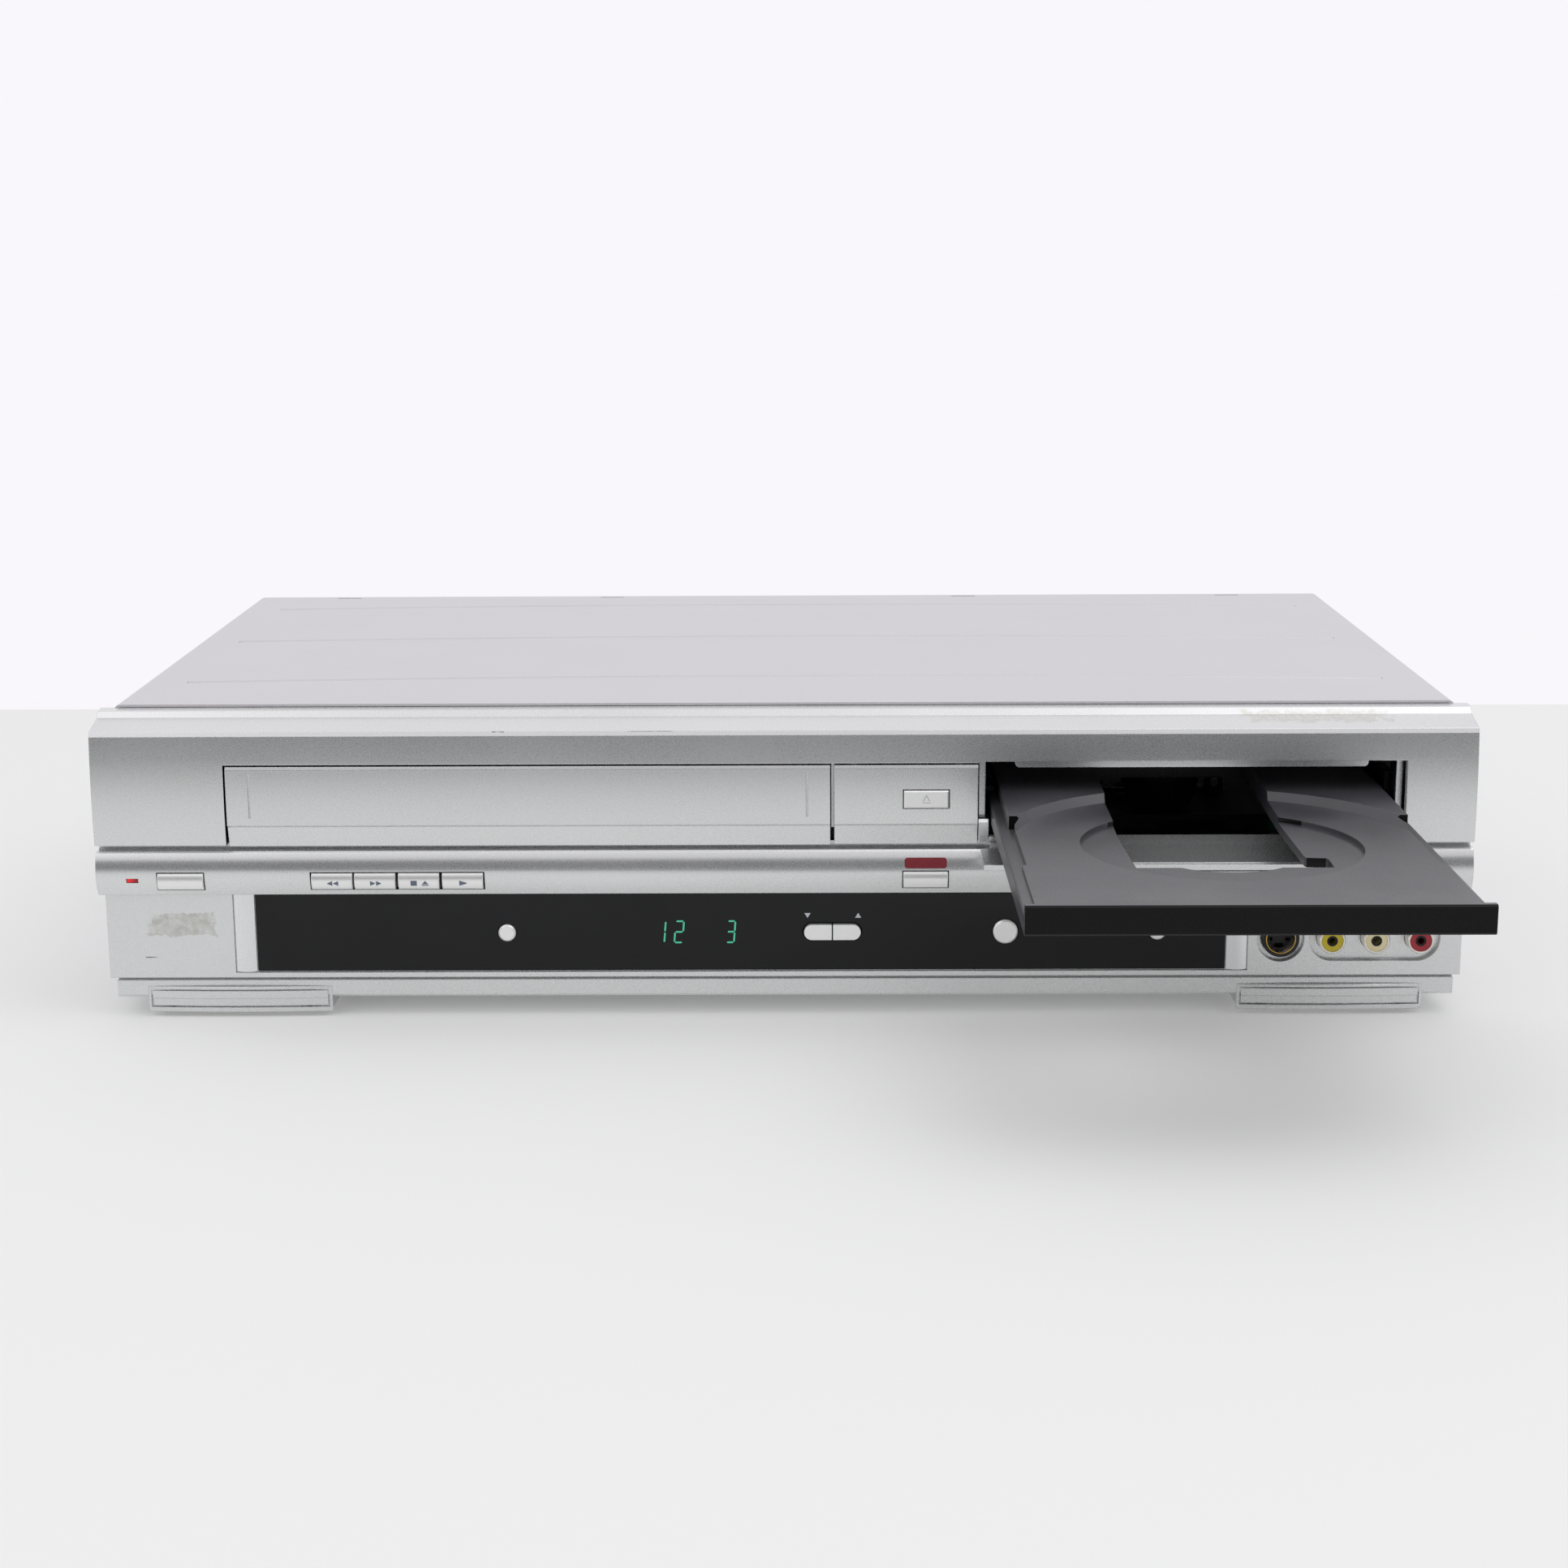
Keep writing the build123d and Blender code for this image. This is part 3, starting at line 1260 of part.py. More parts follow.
    # rack under the left of the tray, its teeth towards the middle
    rack_teeth = round((tray_travel + 24) / rack_pitch)
    half_tip = rack_pitch / 4 - 0.8 * gear_module * math.tan(pressure) - gear_play / 2
    half_root = rack_pitch / 4 + 1.05 * gear_module * math.tan(pressure) - gear_play / 2
    rack_points = []
    for tooth in range(rack_teeth):
        middle = gear_depth + (1.5 - tooth) * rack_pitch
        rack_points += [
            (rack_line - 1.05 * gear_module, middle + half_root),
            (rack_line + 0.8 * gear_module, middle + half_tip),
            (rack_line + 0.8 * gear_module, middle - half_tip),
            (rack_line - 1.05 * gear_module, middle - half_root),
        ]
    with BuildSketch(plan(lip_bottom + 0.2, tray_x)):
        with BuildLine():
            Polyline(
                (rack_line - 3.2, rack_points[0][1]), *rack_points,
                (rack_line - 3.2, rack_points[-1][1]), close=True,
            )
        make_face()
    extrude(amount=plate_bottom - lip_bottom)
keep(disc_tray, "disc_tray")

# ---------------------------------------------------------------- traverse, hub and pickup
rod_radius = 1.5
rod_x = 21.0
rod_height = 57.0
rod_front = hub_depth + 16
rod_back = 168.0
with BuildPart() as traverse:
    with BuildSketch(plan(51.0, tray_x)):
        span(-31, hub_depth - 17, 35, 188)
        span(-14, hub_depth + 14, 14, 160, mode=Mode.SUBTRACT)
    extrude(amount=2)
    # rod holders at both ends
    with BuildSketch(facing(rod_front + 2)):
        for x in (-rod_x, rod_x):
            span(tray_x + x - 3, 52.8, tray_x + x + 3, 59.6)
            with Locations((tray_x + x, rod_height)):
                Circle(rod_radius, mode=Mode.SUBTRACT)
    extrude(amount=3)
    with BuildSketch(facing(rod_back)):
        for x in (-rod_x, rod_x):
            span(tray_x + x - 3, 52.8, tray_x + x + 3, 59.6)
            with Locations((tray_x + x, rod_height)):
                Circle(rod_radius, mode=Mode.SUBTRACT)
    extrude(amount=3)
    # spindle motor's base and shaft, and the rear pivots
    with BuildSketch(plan(52.9, tray_x, hub_depth)):
        Circle(9)
    extrude(amount=1.3)
    with BuildSketch(plan(53, tray_x, hub_depth)):
        Circle(1.0)
    extrude(amount=12)
    for way in (-1, 1):
        with BuildSketch(side(tray_x + 2 + way * 31.7 - 1.5)):
            with BuildLine():
                Polyline((178, 51), (190, 51), (190, 53), (187, 57), (181, 57), (178, 53), close=True)
            make_face()
        extrude(amount=3)
        with BuildSketch(side(tray_x + 2 + way * 34.5 - 2.0)):
            with Locations((184, 56)):
                Circle(1.5)
        extrude(amount=4.0)
keep(traverse, "traverse")

with BuildPart() as guide_rods:
    with BuildSketch(facing(rod_back)):
        with Locations((tray_x - rod_x, rod_height), (tray_x + rod_x, rod_height)):
            Circle(rod_radius)
    extrude(amount=rod_back - rod_front + 1)
keep(guide_rods, "guide_rods")

with BuildPart() as disc_hub:
    with BuildSketch(side(tray_x)):
        with BuildLine():
            Polyline(
                (hub_depth + 1.0 + running, 54.5), (hub_depth + 11, 54.5),
                (hub_depth + 13.5, seat_height - 2), (hub_depth + 13.5, seat_height),
                (hub_depth + 7.3, seat_height), (hub_depth + 6.4, seat_height + 1.6),
                (hub_depth + 3, seat_height + 2.0), (hub_depth + 1.0 + running, seat_height + 2.0),
                close=True,
            )
        make_face()
    revolve(axis=Axis((tray_x, face_y + hub_depth, 0), (0, 0, 1)))
keep(disc_hub, "disc_hub")

sled_front = hub_depth + 18.6
with BuildPart() as pickup_sled:
    with BuildSketch(plan(54.2, tray_x)):
        span(-25, sled_front, 25, sled_front + 16)
        span(-12, sled_front + 8, 12, sled_front + 26)
    extrude(amount=5.4)
    with BuildSketch(facing(sled_front + 40)):
        for x in (-rod_x, rod_x):
            with Locations((tray_x + x, rod_height)):
                Circle(rod_radius + running)
    extrude(amount=60, mode=Mode.SUBTRACT)
    # lens holder and lens
    with BuildSketch(plan(59.5, tray_x, sled_front + 8)):
        RectangleRounded(15, 13, 2)
    extrude(amount=2.4)
    with BuildSketch(plan(61.8, tray_x, sled_front + 6)):
        Circle(3.4)
    extrude(amount=1.2)
    chamfer(pickup_sled.faces().sort_by(Axis.Z)[-1].edges(), 0.4)
keep(pickup_sled, "pickup_sled")

clamp_low = deck_top + 0.9
bridge_low = loader_rim
with BuildPart() as clamp_bridge:
    with BuildSketch(plan(bridge_low, tray_x)):
        span(-channel_half - loader_wall, hub_depth - 14, channel_half + loader_wall, hub_depth + 14)
        with Locations((0, hub_depth)):
            Circle(9.3, mode=Mode.SUBTRACT)
    extrude(amount=1.2)
    with BuildSketch(plan(bridge_low + 1.1, tray_x)):
        for depth in (hub_depth - 14, hub_depth + 12.8):
            span(-channel_half, depth, channel_half, depth + 1.2)
    extrude(amount=2.6)
keep(clamp_bridge, "clamp_bridge")

with BuildPart() as disc_clamp:
    with BuildSketch(side(tray_x)):
        with BuildLine():
            Polyline(
                (hub_depth, clamp_low), (hub_depth + 13, clamp_low), (hub_depth + 13, clamp_low + 1.1),
                (hub_depth + 9, clamp_low + 1.1), (hub_depth + 9, bridge_low + 1.2 + slip),
                (hub_depth + 11, bridge_low + 1.2 + slip), (hub_depth + 11, bridge_low + 2.6 + slip),
                (hub_depth, bridge_low + 2.6 + slip), close=True,
            )
        make_face()
    revolve(axis=Axis((tray_x, face_y + hub_depth, 0), (0, 0, 1)))
keep(disc_clamp, "disc_clamp")

# ---------------------------------------------------------------- cassette deck
deck_plate = 1.2
deck_half = 98.5
wall_high = 84.0
wall_front_depth = 40.0
wall_back_depth = 152.0
basket_travel = 55.0
basket_front = 42.0
basket_deep = 50.0
basket_half = deck_half - 2.5
bay_floor = upper_bottom + 0.4
guide_pin = 2.0
guide_height = 66.0
guide_depths = (basket_front + 6, basket_front + basket_deep - 6)
drum_depth = 181.0
drum_radius = 31.0
drum_tilt = 5.0
with BuildPart() as deck_chassis:
    with BuildSketch(plan(deck_floor, deck_x)):
        span(-deck_half, 48, deck_half, 214)
    extrude(amount=deck_plate)
    # side walls with the guide slots: along, then down at the back
    for way in (-1, 1):
        wall_x = deck_x + way * (deck_half - deck_plate / 2) - deck_plate / 2
        with BuildSketch(side(wall_x)):
            with BuildLine():
                Polyline(
                    (48, deck_floor), (wall_back_depth, deck_floor), (wall_back_depth, wall_high),
                    (wall_front_depth, wall_high), (wall_front_depth, 59), (48, 59), close=True,
                )
            make_face()
            for depth in guide_depths:
                reach = depth + basket_travel
                span(
                    depth - guide_pin - slip, guide_height - guide_pin - slip,
                    reach + guide_pin + slip, guide_height + guide_pin + slip, mode=Mode.SUBTRACT,
                )
                span(
                    reach - guide_pin - slip, guide_height - 24,
                    reach + guide_pin + slip, guide_height, mode=Mode.SUBTRACT,
                )
        extrude(amount=deck_plate)
    # windows stamped in the plate, and the capstan's bearing
    with BuildSketch(plan(deck_floor, deck_x)):
        with Locations((-60, 75), (60, 75), (0, 75)):
            RectangleRounded(30, 26, 4)
        with Locations((58, 172)):
            Circle(2.0 + running)
    extrude(amount=deck_plate, mode=Mode.SUBTRACT)
    # posts: two reel shafts, the pinch arm's pivot, and the drum's three legs
    with BuildSketch(plan(deck_floor + deck_plate - 0.1, deck_x)):
        with Locations((-36.75, 112), (36.75, 112)):
            Circle(1.5)
    extrude(amount=14)
    with BuildSketch(plan(deck_floor + deck_plate - 0.1, deck_x)):
        with Locations((76, 160)):
            Circle(1.5)
    extrude(amount=22)
    # slanted tape guides beside the drum
    with BuildSketch(plan(deck_floor + deck_plate - 0.1, deck_x)):
        with Locations((-46, 168), (42, 160), (-62, 158)):
            Circle(2.2)
    extrude(amount=26)
keep(deck_chassis, "deck_chassis")

drum_axis_dir = (0, math.sin(math.radians(drum_tilt)), math.cos(math.radians(drum_tilt)))
drum_plane = Plane(
    origin=(deck_x, face_y + drum_depth, deck_floor + deck_plate + 4),
    x_dir=(1, 0, 0), z_dir=drum_axis_dir,
)
drum_lower = 15.0
drum_upper = 16.0
with BuildPart() as drum_base:
    with BuildSketch(drum_plane):
        Circle(drum_radius)
    extrude(amount=drum_lower)
    with BuildSketch(drum_plane.offset(drum_lower)):
        Circle(3)
    extrude(amount=drum_upper - 1)
    # wedge-shaped foot between the tilted drum and the deck
    with BuildSketch(plan(deck_floor + deck_plate, deck_x, drum_depth)):
        Circle(22)
    extrude(amount=6)
keep(drum_base, "drum_base")

with BuildPart() as head_drum:
    with BuildSketch(drum_plane.offset(drum_lower + 0.35)):
        Circle(drum_radius)
        Circle(3 + running, mode=Mode.SUBTRACT)
    extrude(amount=drum_upper)
    with BuildSketch(drum_plane.offset(drum_lower + 0.35 + drum_upper)):
        Circle(27)
        Circle(17, mode=Mode.SUBTRACT)
    extrude(amount=-1.5, mode=Mode.SUBTRACT)
    # small windows of the heads at the lower edge
    with BuildSketch(drum_plane.offset(drum_lower + 0.35)):
        with PolarLocations(drum_radius, 4):
            Rectangle(3, 5)
    extrude(amount=1.6, mode=Mode.SUBTRACT)
keep(head_drum, "head_drum")

capstan_x = deck_x + 58
capstan_depth = 172.0
with BuildPart() as capstan:
    with BuildSketch(plan(16.2, capstan_x, capstan_depth)):
        Circle(20)
    extrude(amount=5)
    with BuildSketch(plan(20, capstan_x, capstan_depth)):
        Circle(2.0)
    extrude(amount=34)
    with BuildSketch(plan(21, capstan_x, capstan_depth)):
        Circle(5)
    extrude(amount=2.6)
keep(capstan, "capstan")

pinch_x = deck_x + 76
pinch_depth = 160.0
roller_x = deck_x + 66.5
roller_depth = 183.5
with BuildPart() as pinch_arm:
    with BuildSketch(plan(32, 0, 0)):
        with BuildLine():
            Polyline((pinch_x, pinch_depth), (roller_x, roller_depth))
        trace(line_width=6)
        with Locations((pinch_x, pinch_depth), (roller_x, roller_depth)):
            Circle(4)
    extrude(amount=1.6)
    with BuildSketch(plan(deck_floor + deck_plate + 0.2, pinch_x, pinch_depth)):
        Circle(3.2)
    extrude(amount=32 - deck_floor - deck_plate)
    with BuildSketch(plan(20, pinch_x, pinch_depth)):
        Circle(1.5 + running)
    extrude(amount=40, mode=Mode.SUBTRACT)
    # rubber roller on its pin
    with BuildSketch(plan(33.4, roller_x, roller_depth)):
        Circle(5.5)
    extrude(amount=15)
keep(pinch_arm, "pinch_arm")

for reel_name, x in (("supply_reel", deck_x - 36.75), ("takeup_reel", deck_x + 36.75)):
    with BuildPart() as reel:
        with BuildSketch(plan(deck_floor + deck_plate + 0.3, x, 112)):
            Circle(15)
        extrude(amount=2.4)
        with BuildSketch(plan(deck_floor + deck_plate + 2.6, x, 112)):
            Circle(4.2)
            with PolarLocations(4.2, 6):
                Rectangle(3.0, 1.4)
        extrude(amount=12.4)
        with BuildSketch(plan(20, x, 112)):
            Circle(1.5 + running)
        extrude(amount=40, mode=Mode.SUBTRACT)
    keep(reel, reel_name)

with BuildPart() as cassette_basket:
    with BuildSketch(facing(basket_front + basket_deep)):
        span(deck_x - basket_half, bay_floor - 1.0, deck_x + basket_half, bay_floor + 28)
        span(
            deck_x - basket_half + 1.2, bay_floor, deck_x + basket_half - 1.2, bay_floor + 26.8,
            mode=Mode.SUBTRACT,
        )
    extrude(amount=basket_deep)
    # rear stop that the cassette meets
    with BuildSketch(facing(basket_front + basket_deep)):
        span(deck_x - basket_half + 1, bay_floor - 1, deck_x - 60, bay_floor + 27)
        span(deck_x + 60, bay_floor - 1, deck_x + basket_half - 1, bay_floor + 27)
    extrude(amount=1.2)
    # stamped opening in the floor, over the reels
    with BuildSketch(plan(bay_floor - 2, deck_x)):
        span(-70, basket_front + 8, 70, basket_front + basket_deep + 1)
    extrude(amount=3, mode=Mode.SUBTRACT)
    # guide pins through the deck's slots
    for start in (deck_x - basket_half - 3.2, deck_x + basket_half - 1.0):
        with BuildSketch(side(start)):
            with Locations([(depth, guide_height) for depth in guide_depths]):
                Circle(guide_pin)
        extrude(amount=4.2)
keep(cassette_basket, "cassette_basket")
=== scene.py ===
import math

import bpy
import numpy as np
from mathutils import Matrix, Vector


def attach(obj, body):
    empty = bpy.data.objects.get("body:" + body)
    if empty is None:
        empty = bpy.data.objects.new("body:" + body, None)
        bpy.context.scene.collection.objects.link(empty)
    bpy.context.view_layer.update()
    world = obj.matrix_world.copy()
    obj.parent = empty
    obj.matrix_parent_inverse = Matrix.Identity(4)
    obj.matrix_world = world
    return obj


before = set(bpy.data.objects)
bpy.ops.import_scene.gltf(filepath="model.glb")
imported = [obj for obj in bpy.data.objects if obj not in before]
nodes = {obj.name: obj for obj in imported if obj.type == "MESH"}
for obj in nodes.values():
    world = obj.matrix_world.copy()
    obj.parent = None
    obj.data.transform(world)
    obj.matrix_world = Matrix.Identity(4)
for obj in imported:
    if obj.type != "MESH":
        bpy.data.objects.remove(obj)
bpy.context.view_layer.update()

# ---- Camera and studio
# The photograph's own view, from in front and above the top edge. The floor ends behind the object,
# and the pale air past it is the wall. Wide soft lamps hang overhead, and a card stands for the dark
# part of the room that the lacquer mirrors.
mm = 0.001
face = -0.06325                     # Y of the front panel's flat face
photo_pixels = 1932
focal_pixels = 3217
sensor_width = 36
camera_place = Vector((7.85 * mm, face - 799.7 * mm, 256.2 * mm))
pitch, yaw, roll = (math.radians(angle) for angle in (12.65, 0.53, -0.30))

forward = Vector((-math.sin(yaw) * math.cos(pitch), math.cos(yaw) * math.cos(pitch), -math.sin(pitch)))
right = Vector((math.cos(yaw), math.sin(yaw), 0))
up = right.cross(forward)
tilted_right = right * math.cos(roll) + up * math.sin(roll)
tilted_up = up * math.cos(roll) - right * math.sin(roll)
turned = Matrix((tilted_right, tilted_up, -forward)).transposed().to_4x4()
camera = bpy.data.objects.new("photo_camera", bpy.data.cameras.new("photo_camera"))
camera.data.sensor_width = sensor_width
camera.data.lens = sensor_width * focal_pixels / photo_pixels
camera.matrix_world = Matrix.Translation(camera_place) @ turned
bpy.context.scene.collection.objects.link(camera)
bpy.context.scene.camera = camera
bpy.context.scene.view_settings.view_transform = "Standard"


def linear(code):
    """Scene-linear colour of an sRGB hex value.

    A part up to 0.04045 is divided by 12.92. Above that, the part plus 0.055 is divided by 1.055 and
    raised to the power 2.4.
    """
    parts = np.array([int(code[i:i + 2], 16) for i in (1, 3, 5)]) / 255
    parts = np.where(parts <= 0.04045, parts / 12.92, ((parts + 0.055) / 1.055) ** 2.4)
    return (*parts.tolist(), 1.0)


def add_node(tree, kind, inputs=None, **settings):
    """A shader node with its settings, and inputs that are either values or another node's output."""
    node = tree.nodes.new(kind)
    for name, value in settings.items():
        setattr(node, name, value)
    for name, value in (inputs or {}).items():
        if isinstance(value, bpy.types.NodeSocket):
            tree.links.new(value, node.inputs[name])
        else:
            node.inputs[name].default_value = value
    return node


def new_material(name):
    """An empty material, its tree, its shader, and Object coordinates in millimetres."""
    material = bpy.data.materials.new(name)
    material.use_nodes = True
    tree = material.node_tree
    tree.nodes.clear()
    shader = add_node(tree, "ShaderNodeBsdfPrincipled")
    add_node(tree, "ShaderNodeOutputMaterial", {"Surface": shader.outputs[0]})
    place = add_node(tree, "ShaderNodeTexCoord").outputs["Object"]
    place = add_node(
        tree, "ShaderNodeVectorMath", {0: place, "Scale": 1 / mm}, operation="SCALE"
    ).outputs[0]
    return material, tree, shader, place


def new_object(name, vertices, quads):
    """A flat-shaded mesh object at the origin, from points in metres and rows of four point numbers."""
    mesh = bpy.data.meshes.new(name)
    mesh.from_pydata(np.asarray(vertices, float).tolist(), [], np.asarray(quads).tolist())
    mesh.update()
    made = bpy.data.objects.new(name, mesh)
    bpy.context.scene.collection.objects.link(made)
    return made


# the floor is wide in front and ends 0.46 m behind the origin
floor_half, floor_end = 6, 0.46
floor = new_object(
    "studio_floor",
    [
        (-floor_half, -floor_half, 0), (floor_half, -floor_half, 0),
        (floor_half, floor_end, 0), (-floor_half, floor_end, 0),
    ],
    [(0, 1, 2, 3)],
)
floor_paint, _, shader, _ = new_material("white_paper_floor")
shader.inputs["Base Color"].default_value = linear("#E0E0E0")
shader.inputs["Emission Color"].default_value = linear("#FFFFFD")
shader.inputs["Emission Strength"].default_value = 0.17
shader.inputs["Roughness"].default_value = 0.8
shader.inputs["Specular IOR Level"].default_value = 0.2
floor.data.materials.append(floor_paint)

# the dark part of the room: a leaning card in front of the object that shows only in reflections
card_half, card_near, card_far, card_high = 2.6, -0.8, -1.1, 0.6
room = new_object(
    "dim_room_card",
    [
        (-card_half, card_near, 0), (card_half, card_near, 0),
        (card_half, card_far, card_high), (-card_half, card_far, card_high),
    ],
    [(0, 1, 2, 3)],
)
room.visible_camera = False
room.visible_shadow = False
room.visible_diffuse = False
room_paint, _, shader, _ = new_material("dim_room_cloth")
shader.inputs["Base Color"].default_value = linear("#2E2E30")
shader.inputs["Roughness"].default_value = 1.0
room.data.materials.append(room_paint)

# the air is pale where it is seen, mirrored or seen through, and dimmer where it only lights
world = bpy.data.worlds.new("studio_air")
bpy.context.scene.world = world
world.use_nodes = True
air = world.node_tree
air.nodes.clear()
path = add_node(air, "ShaderNodeLightPath").outputs
seen = add_node(
    air, "ShaderNodeMath", {0: path["Is Camera Ray"], 1: path["Is Glossy Ray"]}, operation="MAXIMUM"
)
seen = add_node(
    air, "ShaderNodeMath", {0: seen.outputs[0], 1: path["Is Transmission Ray"]}, operation="MAXIMUM"
)
soft = add_node(air, "ShaderNodeBackground", {"Color": linear("#FAFAFC"), "Strength": 0.79})
plain = add_node(air, "ShaderNodeBackground", {"Color": linear("#F9F7FB"), "Strength": 1.0})
mix = add_node(air, "ShaderNodeMixShader", {0: seen.outputs[0], 1: soft.outputs[0], 2: plain.outputs[0]})
add_node(air, "ShaderNodeOutputWorld", {"Surface": mix.outputs[0]})

for name, spot, target, size, power in (
    ("key_lamp", (0.75, -0.25, 1.5), (0.0, 0.0, 0.0), 1.5, 4.6),
    ("fill_lamp", (-1.1, -0.9, 1.2), (0.0, 0.0, 0.05), 1.4, 2.5),
):
    lamp = bpy.data.objects.new(name, bpy.data.lights.new(name, "AREA"))
    lamp.data.shape = "DISK"
    lamp.data.size = size
    lamp.data.energy = power
    lamp.location = spot
    lamp.rotation_euler = (Vector(target) - Vector(spot)).to_track_quat("-Z", "Y").to_euler()
    bpy.context.scene.collection.objects.link(lamp)


# ---- Steel pan and inner metal parts
# The pan and the sheets are zinc-plated steel, cut and bent: pale blue-grey with a soft crystalline
# spangle and fine rolling lines. The tuner's can is tinned, rods are ground and the drum is turned.
def bare_metal(name, colour, dark, rough, spangle, lines):
    """Bare metal with a spangle of the given size in mm, and rolling or turning lines across it."""
    material, tree, shader, place = new_material(name)
    crystals = add_node(tree, "ShaderNodeTexVoronoi", {"Vector": place, "Scale": 1 / spangle})
    tone = add_node(tree, "ShaderNodeSeparateColor", {0: crystals.outputs["Color"]}).outputs[0]
    stretched = add_node(
        tree, "ShaderNodeVectorMath", {0: place, 1: (0.05, 1.0, 1.0)}, operation="MULTIPLY"
    ).outputs[0]
    line = add_node(
        tree, "ShaderNodeTexNoise", {"Vector": stretched, "Scale": 1 / lines, "Detail": 2.0}
    ).outputs[0]
    colours = add_node(
        tree, "ShaderNodeMix", {0: tone, 6: linear(dark), 7: linear(colour)}, data_type="RGBA"
    )
    tree.links.new(colours.outputs[2], shader.inputs["Base Color"])
    rougher = add_node(
        tree, "ShaderNodeMapRange",
        {"Value": line, "From Min": 0.3, "From Max": 0.7, "To Min": rough - 0.06, "To Max": rough + 0.08},
    )
    tree.links.new(rougher.outputs[0], shader.inputs["Roughness"])
    rounded = add_node(tree, "ShaderNodeBevel", {"Radius": 0.2 * mm})
    bump = add_node(
        tree, "ShaderNodeBump", {"Height": line, "Distance": 0.004 * mm, "Normal": rounded.outputs[0]}
    )
    tree.links.new(bump.outputs[0], shader.inputs["Normal"])
    shader.inputs["Metallic"].default_value = 1.0
    return material


def give(material, *names):
    """Every face of these CAD nodes takes this material."""
    for name in names:
        mesh = nodes[name].data
        mesh.materials.clear()
        mesh.materials.append(material)
        for polygon in mesh.polygons:
            polygon.material_index = 0


zinc = bare_metal("zinc_plated_steel_sheet", "#C3C7CB", "#A9ADB2", 0.36, 2.5, 0.5)
give(zinc, "chassis_pan", "tray_motor", "clamp_bridge", "deck_chassis", "cassette_basket")
tin = bare_metal("tinned_steel_can", "#CFCFCB", "#BCBCB8", 0.28, 6.0, 1.0)
give(tin, "tuner")
ground = bare_metal("ground_steel_rod", "#D4D5D6", "#C6C7C8", 0.18, 8.0, 0.4)
give(ground, "guide_rods", "capstan")
aluminium = bare_metal("turned_aluminium", "#D6D7D8", "#C8C9CB", 0.24, 8.0, 0.4)
give(aluminium, "drum_base", "head_drum", "pickup_sled")


# ---- Circuit boards and moulded inner parts
# The boards are glass epoxy under a glossy green solder mask. The loader, fan, sockets and feet are
# black ABS moulded with a spark-eroded grain, and reels, gears and clamp are natural acetal.
def moulded_plastic(name, colour, dark, rough, grain, depth, round_off=0.25):
    """Moulded plastic with a grain of the given size and depth, and a faint cloud of handling marks."""
    material, tree, shader, place = new_material(name)
    lumps = add_node(
        tree, "ShaderNodeTexNoise", {"Vector": place, "Scale": 1 / grain, "Detail": 2.0}
    ).outputs[0]
    cloud = add_node(
        tree, "ShaderNodeTexNoise", {"Vector": place, "Scale": 1 / 25.0, "Detail": 4.0}
    ).outputs[0]
    share = add_node(
        tree, "ShaderNodeMapRange", {"Value": cloud, "From Min": 0.3, "From Max": 0.7}
    ).outputs[0]
    colours = add_node(
        tree, "ShaderNodeMix", {0: share, 6: linear(dark), 7: linear(colour)}, data_type="RGBA"
    )
    tree.links.new(colours.outputs[2], shader.inputs["Base Color"])
    both = add_node(tree, "ShaderNodeMath", {0: lumps, 1: cloud}, operation="ADD").outputs[0]
    rougher = add_node(
        tree, "ShaderNodeMapRange",
        {"Value": both, "From Min": 0.7, "From Max": 1.3, "To Min": rough - 0.06, "To Max": rough + 0.08},
    )
    tree.links.new(rougher.outputs[0], shader.inputs["Roughness"])
    rounded = add_node(tree, "ShaderNodeBevel", {"Radius": round_off * mm})
    bump = add_node(
        tree, "ShaderNodeBump", {"Height": lumps, "Distance": depth * mm, "Normal": rounded.outputs[0]}
    )
    tree.links.new(bump.outputs[0], shader.inputs["Normal"])
    shader.inputs["IOR"].default_value = 1.53
    return material


inner_abs = moulded_plastic("black_abs_moulded", "#161617", "#101011", 0.5, 0.5, 0.012)
give(
    inner_abs, "loader_frame", "rear_feet", "front_video_socket", "rear_sockets", "mains_inlet",
    "fan_frame", "fan_rotor", "traverse", "disc_hub",
)
acetal = moulded_plastic("natural_acetal_moulded", "#E4E2D8", "#D8D5C8", 0.4, 0.8, 0.008)
give(acetal, "supply_reel", "takeup_reel", "tray_gear", "motor_pinion", "disc_clamp")
rubber = moulded_plastic("black_rubber_moulded", "#1C1C1C", "#141414", 0.75, 0.8, 0.02)
give(rubber, "foot_pads", "pinch_arm")
board = moulded_plastic("green_solder_mask_on_glass_epoxy", "#1E5A34", "#174B2A", 0.35, 1.5, 0.02)
give(board, "main_board", "power_board", "front_board")
tube_glass = moulded_plastic("display_tube_glass", "#141C1B", "#101615", 0.12, 3.0, 0.0)
give(tube_glass, "display_tube")


